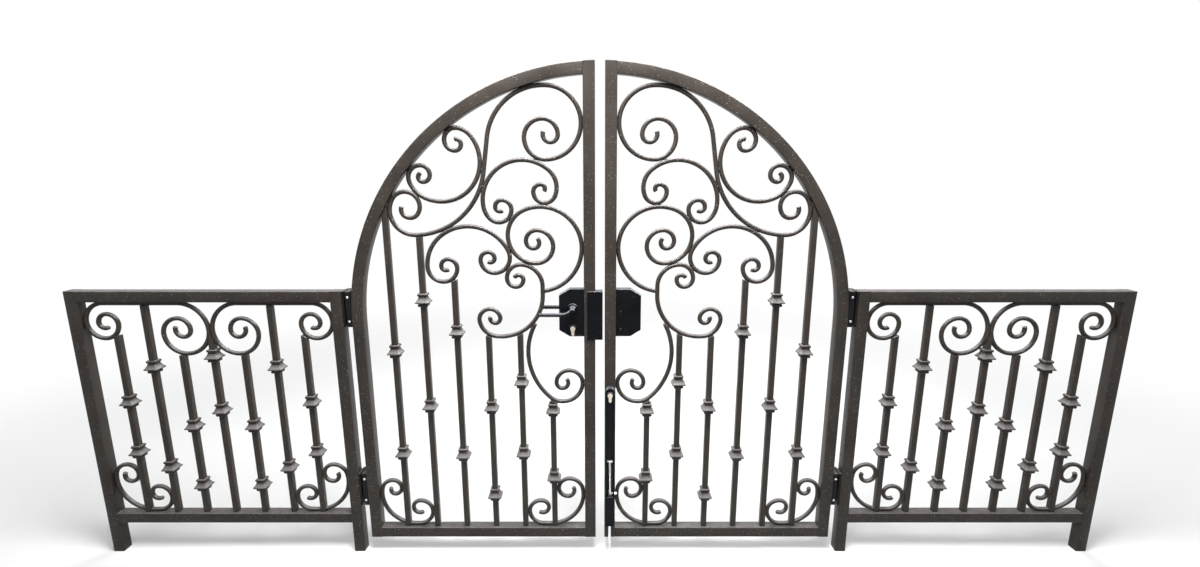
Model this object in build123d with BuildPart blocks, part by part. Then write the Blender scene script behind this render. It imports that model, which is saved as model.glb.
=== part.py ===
from build123d import *
import os
from math import atan2, cos, degrees, hypot, radians, sin, sqrt

# Double-leaf arched walk gate of welded aluminium, with scrollwork, collared pickets and one
# fence bay on each side. Millimetres. X runs along the gate, Y from the front to the back,
# Z up from the ground. The origin is the middle of the left hinge post's foot.

# Frame
frame_tube = 38.0
leaf_width = 822.0
meeting_gap = 32.0
hinge_gap = 30.0
ground_clearance = 60.0
stile_height = 818.0

# Infill
picket_size = 19.0
picket_count = 6
picket_pitch = 108.0
first_picket = 111.0
scroll_bar = 12.7
scroll_sides = 6
seat = 0.3

# Collars on the pickets, from the lower ring to the upper one
collar_ring = 33.0
collar_neck = 27.0
collar_skirt = 48.0
collar_ring_height = 9.0
collar_neck_height = 3.0
collar_skirt_edge = 4.0
collar_skirt_slope = 17.0
collar_levels = (
    (458.0, 199.0), (563.0, 293.0), (468.0, 129.0),
    (744.0, 287.0), (855.0, 473.0), (674.0, 292.0),
)

# Side fence bays
bay_width = 853.0
bay_picket_count = 7
post_height = 985.0
bay_rail_height = 118.0
bay_collar_levels = ((430.0, 240.0), (560.0, 180.0), (340.0, 110.0), (600.0, 400.0))

# Hinges: a plate on the post, a block on the leaf, and a barrel behind the gate
hinge_height = 124.0
hinge_levels = (190.0, 861.0)
hinge_plate = 8.0
hinge_slit = 5.0
hinge_reveal = 1.0
barrel_radius = 8.0
barrel_setback = 9.0
barrel_knuckle = 36.0
barrel_play = 0.5
pin_radius = 3.0
pin_play = 0.1

# Lock on the left leaf, and the keep of the same outline on the right one
lock_height = 910.0
lock_tall = 164.0
lock_wide = 84.0
lock_deep = 30.0
lock_corner_wide = 35.0
lock_corner_tall = 22.0
cover_tall = 168.0
cover_drop = 8.0
cover_lap = 27.0
cover_plate = 6.0
cover_gap = 7.0
latch_gap = 7.0
latch_deep = 28.0
spindle_inset = 38.0
spindle_rise = 16.0
spindle_size = 8.0
spindle_play = 0.6
cylinder_drop = 71.0
cylinder_radius = 8.5
cylinder_stem = 5.0
cylinder_tall = 33.0
cylinder_proud = 5.0
cylinder_play = 0.1
hub_radius = 11.0
hub_play = 0.6
hub_crown = 2.0
lever_stand = 38.0
lever_radius = 7.5
lever_neck = 24.0
lever_length = 110.0
lever_fall = 13.0
lever_bend = 26.0

# Drop bolt on the right leaf
housing_wide = 32.0
housing_deep = 24.0
housing_wall = 4.0
housing_low = 120.0
housing_high = 650.0
channel_wide = 22.0
channel_high = 560.0
window_wide = 20.0
window_low = 236.0
window_high = 384.0
guide_tall = 20.0
rod_radius = 5.0
rod_play = 0.3
rod_foot = 2.0
rod_top = 377.0
head_wide = 19.0
head_deep = 17.0
head_tall = 7.0
bolt_pin_height = 244.0
bolt_pin_radius = 4.5
bolt_pin_reach = 25.0
bolt_pin_play = 0.7
bolt_travel = 100.0
key_height = 623.5
key_deep = 16.0
key_proud = 2.0

# Scroll radii at the bar's centre line, from the wide turns in to the eye
crown_weld = 107.0
crown_back, crown_turn, crown_eye = 185.0, 114.0, (68.0, 59.0, 49.0, 24.0)
crown_sweep, crown_foot, crown_foot_eye = 240.0, 78.0, (48.0, 46.0, 31.0, 26.0)
rib_bow = 130.0
rib_head, rib_head_turn, rib_head_eye = 65.0, 38.0, (33.0, 20.0, 16.0)
rib_tail, rib_tail_turn, rib_tail_eye = 93.0, 40.0, (30.0, 23.0, 15.0)
shoulder_bow = 131.0
shoulder_head, shoulder_head_turn, shoulder_head_eye = 74.0, 38.0, (36.0, 24.0, 14.0)
shoulder_tail, shoulder_tail_turn, shoulder_tail_eye = 70.0, 42.0, (31.0, 22.0, 15.0)
heart_tail, heart_bow, heart_turn, heart_eye = 148.0, 136.0, 92.5, (57.0, 54.0, 36.0, 25.0, 19.0)
heart_slant = 3.0
side_bow = 146.0
side_head, side_head_eye = 53.0, (45.0, 26.0, 21.0, 14.0)
side_tail, side_tail_eye = 131.0, (52.0, 47.0, 30.0, 23.0, 15.0)
waist_hook, waist_hook_turn, waist_hook_eye = 73.0, 46.0, (30.0, 25.0, 15.5)
waist_neck, waist_bow = 32.0, 145.0
waist_foot, waist_foot_eye = 64.5, (37.0, 35.0, 17.5)
foot_bow, foot_turn, foot_eye = 219.0, 69.0, (46.0, 45.0, 21.0, 20.0)
foot_level = 224.0
foot_lap = 7.0
foot_taper = 20.0
corner_bow = 118.0
corner_lean = 168.0
corner_head_steps = (10.0, 16.0, 25.0)
corner_tail, corner_tail_eye = 50.0, (41.0, 26.0, 22.0)
bay_head, bay_head_eye = 66.0, (58.0, 50.0, 36.0, 30.0, 20.0)
bay_tail, bay_tail_eye = 95.0, (84.0, 72.0, 54.0, 40.0, 26.0)

# Worked out from the sizes above
arch_outer = leaf_width + meeting_gap / 2
arch_inner = arch_outer - frame_tube
rail_top = ground_clearance + frame_tube
spring = stile_height - frame_tube
stile_inner = meeting_gap / 2 + frame_tube
stile_middle = (meeting_gap + frame_tube) / 2
touch = scroll_bar / 2 + seat
flat_turn = 90 - 180 / scroll_sides
pair = scroll_bar + seat
picket_x = [-stile_inner - first_picket - picket_pitch * place for place in range(picket_count)]
post_face = arch_outer + hinge_gap
centre_x = post_face + frame_tube / 2
pivot = post_face - hinge_plate - hinge_slit / 2
pivot_y = frame_tube / 2 + barrel_setback
arch_centre = (0.0, spring)
bay_rail_top = bay_rail_height + frame_tube
bay_clear = post_height - frame_tube - bay_rail_top
bay_pitch = bay_width / (bay_picket_count + 1)
collar_base = 2 * collar_ring_height + 2 * collar_neck_height + collar_skirt_edge + collar_skirt_slope
spindle = (-stile_inner - spindle_inset, lock_height + spindle_rise - rail_top)
bolt_x = centre_x + stile_middle
rod_y = -(frame_tube + housing_deep - housing_wall) / 2

os.makedirs("parts", exist_ok=True)


def save(piece, name):
    """Labels a finished piece and writes its file."""
    piece.part.label = name
    export_step(piece.part, f"parts/{name}.step")


def front_plane(x, z, way):
    """A plane in the gate's front view, with its own X to the right (1) or to the left (-1)."""
    return Plane(origin=(x, 0, z), x_dir=(way, 0, 0), z_dir=(0, -way, 0))


# The left leaf is drawn as it stands, and the right one as its mirror image. Both planes have
# their origin in the middle of the gate, level with the top of the bottom rails.
left_plane = front_plane(centre_x, rail_top, 1)
right_plane = front_plane(centre_x, rail_top, -1)


# Rings that touch each other. A ring is (x, y, radius).
def polar(point, angle, length):
    """The point at an angle and a distance from another one."""
    return point[0] + length * cos(radians(angle)), point[1] + length * sin(radians(angle))


def bearing(first, second):
    """The angle at which one point sees another."""
    return degrees(atan2(second[1] - first[1], second[0] - first[0]))


def meet(first, first_reach, second, second_reach):
    """The point at two distances from two others, to the right of the line from first to second."""
    dx, dy = second[0] - first[0], second[1] - first[1]
    apart = hypot(dx, dy)
    along = (first_reach**2 - second_reach**2 + apart**2) / (2 * apart)
    off = sqrt(first_reach**2 - along**2)
    return first[0] + (along * dx + off * dy) / apart, first[1] + (along * dy - off * dx) / apart


def nest(outer, angle, radius):
    """The ring of a given radius that shares another's tangent at an angle seen from its centre."""
    return (*polar(outer, angle, outer[2] - radius), radius)


def coil(outer, angle, turn, radii):
    """Rings winding inwards, each taking over a quarter turn after the last. Turn is 1 or -1."""
    rings = []
    for radius in radii:
        outer = nest(outer, angle, radius)
        rings.append(outer)
        angle += 90 * turn
    return rings


def one_way(rings, turn):
    """A row of rings that are all followed with the same turn."""
    return [(*item, turn) for item in rings]


def both_ways(first, first_turn, second, second_turn):
    """A row of rings from the eye of one arm, through its wide end, to the eye of the other."""
    return one_way(reversed(first), -first_turn) + one_way(second, second_turn)


def trace(row, start, end):
    """Draws the arcs of a row of rings, and the straight runs between rings that don't touch."""
    arrive = [start]
    leave = []
    runs = []
    for (x1, y1, r1, turn1), (x2, y2, r2, turn2) in zip(row, row[1:]):
        lead = turn2 * r2 - turn1 * r1
        square = (x2 - x1) ** 2 + (y2 - y1) ** 2 - lead**2
        run = sqrt(square) if square > 1e-6 else 0.0
        heading = degrees(atan2(y2 - y1, x2 - x1) - atan2(lead, run))
        leave.append(heading - 90 * turn1)
        arrive.append(heading - 90 * turn2)
        runs.append(run)
    leave.append(end)
    runs.append(0.0)
    for (x, y, radius, turn), first, last, run in zip(row, arrive, leave, runs):
        arc = CenterArc((x, y), radius, first, turn * ((turn * (last - first)) % 360))
        if run:
            Line(arc @ 1, polar(polar((x, y), last, radius), last + 90 * turn, run))


def bend_bar(plane, row, start, end):
    """A scroll: one bar bent along a row of rings."""
    with BuildPart() as bar:
        with BuildLine(plane) as centre_line:
            trace(row, start, end)
        path = centre_line.line
        with BuildSketch(Plane(origin=path @ 0, x_dir=plane.z_dir, z_dir=path % 0)):
            RegularPolygon(scroll_bar / 2, scroll_sides, major_radius=False, rotation=flat_turn)
        sweep(path=path)
    return bar


# Crown scroll: its back is welded under the arch, its head turns down against the meeting
# stile, and its foot sits under the arch
crown_x = -stile_inner - touch - crown_turn
crown_shoulder = (*polar(arch_centre, crown_weld, arch_inner - touch - crown_back), crown_back)
crown_rise = sqrt((crown_back - crown_turn) ** 2 - (crown_x - crown_shoulder[0]) ** 2)
crown_head = (crown_x, crown_shoulder[1] + crown_rise, crown_turn)
toe_x = picket_x[-1] + picket_size / 2 + touch + crown_foot
crown_toe = (toe_x, spring + sqrt((arch_inner - touch - crown_foot) ** 2 - toe_x**2), crown_foot)
toe_weld = bearing(arch_centre, crown_toe)
toe_coil = coil(crown_toe, toe_weld, -1, crown_foot_eye)
crown_arc = nest(crown_toe, -89, crown_sweep)
crown_row = both_ways(
    [crown_shoulder, crown_head] + coil(crown_head, -90, -1, crown_eye), -1,
    [crown_arc, crown_toe] + toe_coil, -1,
)

# Rib scroll: between the arch and the crown scroll's long sweep, resting on the crown's toe
rib_ring = (*polar(crown_arc, 0, crown_sweep - pair - rib_bow), rib_bow)
rib_top = (*polar(arch_centre, 127.5, arch_inner - touch - rib_head_turn), rib_head_turn)
rib_neck = (*meet(rib_ring, rib_bow - rib_head, rib_top, rib_head - rib_head_turn), rib_head)
rib_heel = (*meet(toe_coil[1], toe_coil[1][2] + pair + rib_tail, rib_ring, rib_bow - rib_tail), rib_tail)
rib_reach = arch_inner - touch - rib_tail_turn
rib_low = (*meet(rib_heel, rib_tail - rib_tail_turn, arch_centre, rib_reach), rib_tail_turn)
rib_row = both_ways(
    [rib_neck, rib_top] + coil(rib_top, 180, 1, rib_head_eye), 1,
    [rib_ring, rib_heel, rib_low] + coil(rib_low, 90, -1, rib_tail_eye), -1,
)

# Heart scroll: against the meeting stile, with the shoulder scroll resting on its top
shoulder_reach = crown_sweep + pair + shoulder_bow
shoulder_ring = (*meet(crown_arc, shoulder_reach, crown_head, crown_turn + pair + shoulder_bow), shoulder_bow)
shoulder_cap = nest(shoulder_ring, 50, shoulder_head)
shoulder_ball = nest(shoulder_cap, -20, shoulder_head_turn)
heart_x = -stile_inner - touch - heart_bow
heart_reach = heart_bow + pair + shoulder_head_turn
heart_y = shoulder_ball[1] - sqrt(heart_reach**2 - (heart_x - shoulder_ball[0]) ** 2)
heart_ring = (heart_x, heart_y, heart_bow)
heart_ball = nest(heart_ring, 111, heart_turn)
heart_end = nest(heart_ring, 0, heart_tail)
heart_coil = coil(heart_ball, -90, 1, heart_eye)

# Shoulder scroll: under the crown scroll, its tail resting on the heart scroll
shoulder_side = nest(shoulder_ring, 188, shoulder_tail)
shoulder_rest = heart_turn + pair + shoulder_tail_turn
shoulder_low = meet(shoulder_side, shoulder_tail - shoulder_tail_turn, heart_ball, shoulder_rest)
shoulder_foot = (*shoulder_low, shoulder_tail_turn)
shoulder_row = both_ways(
    [shoulder_cap, shoulder_ball] + coil(shoulder_ball, -90, -1, shoulder_head_eye), -1,
    [shoulder_ring, shoulder_side, shoulder_foot] + coil(shoulder_foot, 0, 1, shoulder_tail_eye), 1,
)

# Side scroll: hangs under the crown scroll's sweep and leans on the heart scroll
side_reach = crown_sweep + pair + side_bow
side_ring = (*meet(crown_arc, side_reach, heart_ball, heart_turn + pair + side_bow), side_bow)
side_ball = nest(side_ring, bearing(side_ring, heart_ball), side_head)
side_hip = nest(side_ring, 129, side_tail)
side_coil = coil(side_hip, 180, 1, side_tail_eye)
side_row = both_ways(
    [side_ball] + coil(side_ball, -90, -1, side_head_eye), -1,
    [side_ring, side_hip] + side_coil, 1,
)

# Waist scroll: its hook fits under the heart scroll and beside the side scroll's head
hook_shift = waist_hook - waist_hook_turn
hook_partner = (side_ball[0], side_ball[1] - hook_shift)
hook_reach = waist_hook_turn + pair + side_head
hook_centre = meet(hook_partner, hook_reach, heart_ball, heart_turn + pair + waist_hook)
hook_ring = (*hook_centre, waist_hook)
hook_ball = nest(hook_ring, 90, waist_hook_turn)
waist_ring = (hook_ring[0] + waist_hook - waist_bow, hook_ring[1] - waist_neck, waist_bow)
waist_toe = nest(waist_ring, -96, waist_foot)
waist_row = both_ways(
    [hook_ring, hook_ball] + coil(hook_ball, 180, 1, waist_hook_eye), 1,
    [waist_ring, waist_toe] + coil(waist_toe, 190, -1, waist_foot_eye), -1,
)

# The heart scroll's tail ends on the waist scroll's hook, cut square
heart_tip = meet(hook_ring, waist_hook + touch + heart_slant, heart_end, heart_tail)
heart_row = one_way([heart_end, heart_ring, heart_ball] + heart_coil, 1)

# Foot scroll: from the waist scroll down to the meeting stile. It forks from the waist scroll's
# side, with its end tapered to lie along that bar
foot_ring = (-stile_inner - touch - foot_turn, spring - foot_level, foot_turn)
foot_reach = waist_bow + foot_lap + foot_bow
foot_arc = (*meet(foot_ring, foot_bow - foot_turn, waist_ring, foot_reach), foot_bow)
foot_start = bearing(foot_arc, waist_ring) + degrees(foot_taper / foot_bow)
foot_row = one_way([foot_arc, foot_ring] + coil(foot_ring, 0, 1, foot_eye), 1)

# Corner scroll: X from the frame's inner face, Y from the rail's top
corner_ring = (touch + corner_bow, touch + corner_bow, corner_bow)


def corner_row(first, second):
    """A corner scroll's rings. Its head fills the first gap, and its tail ends at the second picket."""
    lean = cos(radians(corner_lean))
    room = first - picket_size / 2 - touch + corner_head_steps[0]
    head = (room - corner_ring[0] - corner_bow * lean) / (1 - lean)
    ball = nest(corner_ring, corner_lean, head)
    tail = (second - picket_size / 2 - touch - corner_tail, touch + corner_tail, corner_tail)
    return both_ways(
        [corner_ring, ball] + coil(ball, 90, -1, [head - step for step in corner_head_steps]), -1,
        [tail] + coil(tail, 10, 1, corner_tail_eye), 1,
    )


def corner_scroll(plane, first, second):
    """A corner scroll, cut where the first picket stands in it."""
    whole = bend_bar(plane, corner_row(first, second), 150, 300)
    with BuildPart() as pieces:
        add(whole.part)
        with BuildSketch(plane):
            with Locations((first, touch + scroll_bar)):
                Rectangle(picket_size + 2 * seat, 4 * scroll_bar)
        extrude(amount=scroll_bar, both=True, mode=Mode.SUBTRACT)
    return pieces


def taper_along(bar, plane, item):
    """A scroll with its end cut to lie along another scroll's ring."""
    with BuildPart() as pieces:
        add(bar.part)
        with BuildSketch(plane):
            with Locations((item[0], item[1])):
                Circle(item[2] + touch)
        extrude(amount=scroll_bar, both=True, mode=Mode.SUBTRACT)
    return pieces


def fit_round_lock(bar, plane):
    """A scroll with whatever reaches into the lock's place cut away."""
    with BuildPart() as pieces:
        add(bar.part)
        with BuildSketch(plane):
            lock_outline(seat)
        extrude(amount=scroll_bar, both=True, mode=Mode.SUBTRACT)
    return pieces


def under(item, x):
    """The height just below a scroll's ring at a given X."""
    return item[1] - sqrt((item[2] + touch) ** 2 - (x - item[0]) ** 2)


def stand_picket(plane, x, top, rings):
    """A picket from the rail up to a height, its top shaped to the scrolls that it carries."""
    with BuildSketch(plane) as outline:
        with Locations((x, top / 2)):
            Rectangle(picket_size, top)
        for item in rings:
            with Locations((item[0], item[1])):
                Circle(item[2] + touch, mode=Mode.SUBTRACT)
    extrude(outline.sketch, amount=picket_size / 2, both=True)


# Collar: a casting that slides over a picket, square in plan
with BuildPart() as collar:
    level = 0.0
    rings = (
        (collar_ring, collar_ring_height),
        (collar_neck, collar_neck_height),
        (collar_skirt, collar_skirt_edge),
    )
    for width, height in rings:
        with BuildSketch(Plane.XY.offset(level)):
            Rectangle(width, width)
        extrude(amount=height)
        level += height
    for height, width in ((level, collar_skirt), (level + collar_skirt_slope, collar_neck)):
        with BuildSketch(Plane.XY.offset(height)):
            Rectangle(width, width)
    loft(ruled=True)
    level += collar_skirt_slope
    for width, height in reversed(rings[:2]):
        with BuildSketch(Plane.XY.offset(level)):
            Rectangle(width, width)
        extrude(amount=height)
        level += height
    with BuildSketch(Plane.XY):
        Rectangle(picket_size + 2 * seat, picket_size + 2 * seat)
    extrude(amount=level, mode=Mode.SUBTRACT)


def place_collars(places):
    """Adds a collar at each middle height, given as (x, height above the ground)."""
    for x, height in places:
        with Locations((x, 0, height - collar_base / 2)):
            add(collar.part)


def box_between(low, high, level, height, mode=Mode.ADD):
    """An upright block between two plan corners, from a level up."""
    with BuildSketch(Plane.XY.offset(level)) as plan:
        with Locations(((low[0] + high[0]) / 2, (low[1] + high[1]) / 2)):
            Rectangle(abs(high[0] - low[0]), abs(high[1] - low[1]))
    extrude(plan.sketch, amount=height, mode=mode)


def lock_outline(play=0.0):
    """The lock's front outline, with its far corners cut off, and a play added on those sides."""
    near, far = -stile_inner, -stile_inner - lock_wide - play
    low, high = lock_height - lock_tall / 2 - rail_top - play, lock_height + lock_tall / 2 - rail_top + play
    with BuildLine() as border:
        Polyline(
            (near, low),
            (near, high),
            (far + lock_corner_wide, high),
            (far, high - lock_corner_tall),
            (far, low + lock_corner_tall),
            (far + lock_corner_wide, low),
            close=True,
        )
    make_face(border.edges())


def key_outline(x, y, play):
    """The keyhole-shaped section of a lock cylinder, round above and narrow below."""
    drop = cylinder_tall - cylinder_radius - cylinder_stem
    with Locations((x, y)):
        Circle(cylinder_radius + play)
    with Locations((x, y - drop / 2)):
        Rectangle(2 * (cylinder_stem + play), drop)
    with Locations((x, y - drop)):
        Circle(cylinder_stem + play)


# Leaves: the same pieces for the left one and, mirrored, the right one
for side, plane, way in (("left", left_plane, 1), ("right", right_plane, -1)):
    hinge_side = -way

    with BuildPart() as outer_stile:
        with BuildSketch(plane):
            with Locations((-(arch_outer + arch_inner) / 2, (spring - frame_tube) / 2)):
                Rectangle(frame_tube, stile_height)
        extrude(amount=frame_tube / 2, both=True)
    save(outer_stile, f"{side}_outer_stile")

    with BuildPart() as arch_rail:
        with BuildSketch(plane):
            with Locations(arch_centre):
                Circle(arch_outer)
                Circle(arch_inner, mode=Mode.SUBTRACT)
            with Locations((-(arch_outer + stile_inner) / 2, spring + arch_outer / 2)):
                Rectangle(arch_outer - stile_inner, arch_outer, mode=Mode.INTERSECT)
        extrude(amount=frame_tube / 2, both=True)
    save(arch_rail, f"{side}_arch_rail")

    with BuildPart() as meeting_stile:
        with BuildSketch(plane):
            with Locations(arch_centre):
                Circle(arch_outer)
            with Locations((-stile_middle, spring + (arch_outer - stile_height) / 2)):
                Rectangle(frame_tube, arch_outer + stile_height, mode=Mode.INTERSECT)
            with Locations((-stile_middle, (spring - frame_tube) / 2)):
                Rectangle(frame_tube, stile_height)
        extrude(amount=frame_tube / 2, both=True)
    save(meeting_stile, f"{side}_meeting_stile")

    with BuildPart() as bottom_rail:
        with BuildSketch(plane):
            with Locations((-(arch_inner + stile_inner) / 2, -frame_tube / 2)):
                Rectangle(arch_inner - stile_inner, frame_tube)
        extrude(amount=frame_tube / 2, both=True)
    save(bottom_rail, f"{side}_bottom_rail")

    save(bend_bar(plane, crown_row, 160, 160), f"{side}_crown_scroll")
    save(bend_bar(plane, rib_row, 100, 120), f"{side}_rib_scroll")
    save(bend_bar(plane, shoulder_row, -30, 300), f"{side}_shoulder_scroll")
    save(bend_bar(plane, side_row, 240, 300), f"{side}_side_scroll")
    heart_bar = bend_bar(plane, heart_row, bearing(heart_end, heart_tip), 45)
    save(fit_round_lock(heart_bar, plane), f"{side}_heart_scroll")
    waist_bar = bend_bar(plane, waist_row, 150, 170)
    save(fit_round_lock(waist_bar, plane), f"{side}_waist_scroll")
    foot_bar = taper_along(bend_bar(plane, foot_row, foot_start, 40), plane, waist_ring)
    save(fit_round_lock(foot_bar, plane), f"{side}_foot_scroll")

    with BuildPart() as corner_scrolls:
        for face, inward, row in ((-arch_inner, way, picket_x[::-1]), (-stile_inner, -way, picket_x)):
            first, second = abs(row[0] - face), abs(row[1] - face)
            corner = corner_scroll(front_plane(centre_x + way * face, rail_top, inward), first, second)
            add(corner.part)
    save(corner_scrolls, f"{side}_corner_scrolls")

    carried = (foot_ring, waist_ring, waist_toe, side_coil[1], crown_arc)
    with BuildPart() as pickets:
        for x, item in zip(picket_x, carried):
            stand_picket(plane, x, under(item, x), [item])
        last = picket_x[-1]
        with BuildSketch(plane):
            with Locations(arch_centre):
                Circle(arch_inner - seat)
            with Locations((last, arch_inner)):
                Rectangle(picket_size, 2 * arch_inner, mode=Mode.INTERSECT)
            with Locations((last, spring / 2)):
                Rectangle(picket_size, spring)
        extrude(amount=picket_size / 2, both=True)
    save(pickets, f"{side}_pickets")

    with BuildPart() as collars:
        for x, levels in zip(picket_x, collar_levels):
            place_collars((centre_x + way * x, rail_top + height) for height in levels)
    save(collars, f"{side}_collars")

    with BuildPart() as hinge_leaves:
        for level in hinge_levels:
            near = centre_x + hinge_side * arch_outer
            far = centre_x + hinge_side * (pivot - hinge_slit / 2)
            front = -frame_tube / 2 + hinge_reveal
            box_between((near, front), (far, frame_tube / 2), level, hinge_height)
            base = level + barrel_knuckle + barrel_play
            tall = hinge_height - 2 * (barrel_knuckle + barrel_play)
            box_between((near, frame_tube / 2), (far, pivot_y), base, tall)
            with BuildSketch(Plane.XY.offset(base)):
                with Locations((centre_x + hinge_side * pivot, pivot_y)):
                    Circle(barrel_radius)
            extrude(amount=tall)
            with BuildSketch(Plane.XY.offset(base)):
                with Locations((centre_x + hinge_side * pivot, pivot_y)):
                    Circle(pin_radius + pin_play)
            extrude(amount=tall, mode=Mode.SUBTRACT)
    save(hinge_leaves, f"{side}_hinge_leaves")

    with BuildPart() as hinge_brackets:
        for level in hinge_levels:
            near = centre_x + hinge_side * post_face
            far = centre_x + hinge_side * (post_face - hinge_plate)
            front = -frame_tube / 2 + hinge_reveal
            box_between((near, front), (far, frame_tube / 2), level, hinge_height)
            for base in (level, level + hinge_height - barrel_knuckle):
                box_between((near, frame_tube / 2), (far, pivot_y), base, barrel_knuckle)
                with BuildSketch(Plane.XY.offset(base)):
                    with Locations((centre_x + hinge_side * pivot, pivot_y)):
                        Circle(barrel_radius)
                extrude(amount=barrel_knuckle)
            with BuildSketch(Plane.XY.offset(level)):
                with Locations((centre_x + hinge_side * pivot, pivot_y)):
                    Circle(pin_radius)
            extrude(amount=hinge_height)
    save(hinge_brackets, f"{side}_hinge_brackets")

    # Fence bay: hinge post, far post and a welded panel between them
    hinge_post_x = centre_x + hinge_side * (post_face + frame_tube / 2)
    far_post_x = hinge_post_x + hinge_side * (frame_tube + bay_width)
    for name, x in ((f"{side}_hinge_post", hinge_post_x), (f"{side}_end_post", far_post_x)):
        with BuildPart() as post:
            with BuildSketch():
                with Locations((x, 0)):
                    Rectangle(frame_tube, frame_tube)
            extrude(amount=post_height)
        save(post, name)

    bay_plane = front_plane(hinge_post_x + hinge_side * frame_tube / 2, bay_rail_top, hinge_side)
    back_plane = front_plane(far_post_x - hinge_side * frame_tube / 2, bay_rail_top, -hinge_side)
    bay_ball = (touch + bay_head, bay_clear - touch - bay_head, bay_head)
    bay_ball_coil = coil(bay_ball, 180, 1, bay_head_eye)
    bay_ring = ((bay_width - pair) / 2 - bay_tail, bay_clear - touch - bay_tail, bay_tail)
    bay_ring_coil = coil(bay_ring, 0, -1, bay_tail_eye)
    bay_row = both_ways([bay_ball] + bay_ball_coil, 1, [bay_ring] + bay_ring_coil, -1)
    middle_ring = bay_ring_coil[0]
    middle_mirror = (bay_width - middle_ring[0], middle_ring[1], middle_ring[2])
    bay_x = [bay_pitch * (place + 1) for place in range(bay_picket_count)]
    with BuildPart() as panel:
        with BuildSketch(bay_plane):
            with Locations((bay_width / 2, -frame_tube / 2), (bay_width / 2, bay_clear + frame_tube / 2)):
                Rectangle(bay_width, frame_tube)
        extrude(amount=frame_tube / 2, both=True)
        for half in (bay_plane, back_plane):
            stand_picket(half, bay_x[0], under(bay_ball_coil[1], bay_x[0]), [bay_ball_coil[1]])
            stand_picket(half, bay_x[1], bay_clear - scroll_bar - 2 * seat, [])
            stand_picket(half, bay_x[2], under(bay_ring_coil[1], bay_x[2]), [bay_ring_coil[1]])
        edge = under(middle_ring, bay_x[3] - picket_size / 2)
        stand_picket(bay_plane, bay_x[3], edge, [middle_ring, middle_mirror])
        for half in (bay_plane, back_plane):
            add(bend_bar(half, bay_row, 300, 160).part)
            add(corner_scroll(half, bay_pitch, 2 * bay_pitch).part)
        for place, x in enumerate(bay_x):
            levels = bay_collar_levels[min(place, bay_picket_count - 1 - place)]
            start_x = hinge_post_x + hinge_side * frame_tube / 2
            place_collars((start_x + hinge_side * x, bay_rail_top + height) for height in levels)
    save(panel, f"{side}_fence_panel")


# Lock case between the left leaf's scrolls and its meeting stile
with BuildPart() as lock_case:
    with BuildSketch(left_plane):
        lock_outline()
    extrude(amount=lock_deep / 2, both=True)
    with BuildSketch(left_plane):
        with Locations(spindle):
            Circle(spindle_size * sqrt(2) / 2 + spindle_play)
        key_outline(spindle[0], spindle[1] - cylinder_drop, cylinder_play)
    extrude(amount=lock_deep / 2, both=True, mode=Mode.SUBTRACT)
save(lock_case, "lock_case")

with BuildPart() as lock_cylinder:
    with BuildSketch(left_plane):
        key_outline(spindle[0], spindle[1] - cylinder_drop, 0)
    extrude(amount=lock_deep / 2 + cylinder_proud, both=True)
save(lock_cylinder, "lock_cylinder")

# Keep on the right leaf, of the same outline
with BuildPart() as lock_keep:
    with BuildSketch(right_plane):
        lock_outline()
    extrude(amount=lock_deep / 2, both=True)
save(lock_keep, "lock_keep")

# Latch cover: a plate on the left meeting stile's front, and the latch box in the gap
with BuildPart() as latch_cover:
    cover_y = lock_height - cover_drop - rail_top
    plate_left = -meeting_gap / 2 - cover_lap
    plate_right = meeting_gap / 2 - cover_gap
    with BuildSketch(left_plane.offset(frame_tube / 2)):
        with Locations(((plate_left + plate_right) / 2, cover_y)):
            Rectangle(plate_right - plate_left, cover_tall)
    extrude(amount=cover_plate)
    box_right = meeting_gap / 2 - latch_gap
    with BuildSketch(left_plane.offset(frame_tube / 2)):
        with Locations(((box_right - meeting_gap / 2) / 2, cover_y)):
            Rectangle(box_right + meeting_gap / 2, cover_tall)
    extrude(amount=-latch_deep)
save(latch_cover, "latch_cover")

# Lever handles, front and back, on one square spindle
for name, face, spindle_reach in (("front_lever", 1, lock_deep + 2 * hub_play), ("back_lever", -1, 0.0)):
    with BuildPart() as lever:
        hub_start = face * (lock_deep / 2 + hub_play)
        with BuildSketch(left_plane.offset(hub_start)):
            with Locations(spindle):
                Circle(hub_radius)
        extrude(amount=face * (lever_stand + lever_radius + hub_crown - hub_play))
        with BuildLine(left_plane.offset(face * (lock_deep / 2 + lever_stand))) as grip_line:
            FilletPolyline(
                spindle,
                (spindle[0] - lever_neck, spindle[1] - lever_fall),
                (spindle[0] - lever_length, spindle[1] - lever_fall),
                radius=lever_bend,
            )
        path = grip_line.line
        with BuildSketch(Plane(origin=path @ 0, z_dir=path % 0)):
            Circle(lever_radius)
        sweep(path=path)
        fillet(lever.faces().sort_by(Axis.X)[0].edges(), lever_radius / 3)
        if spindle_reach:
            with BuildSketch(left_plane.offset(hub_start)):
                with Locations(spindle):
                    Rectangle(spindle_size, spindle_size)
            extrude(amount=-spindle_reach)
    save(lever, name)

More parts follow.
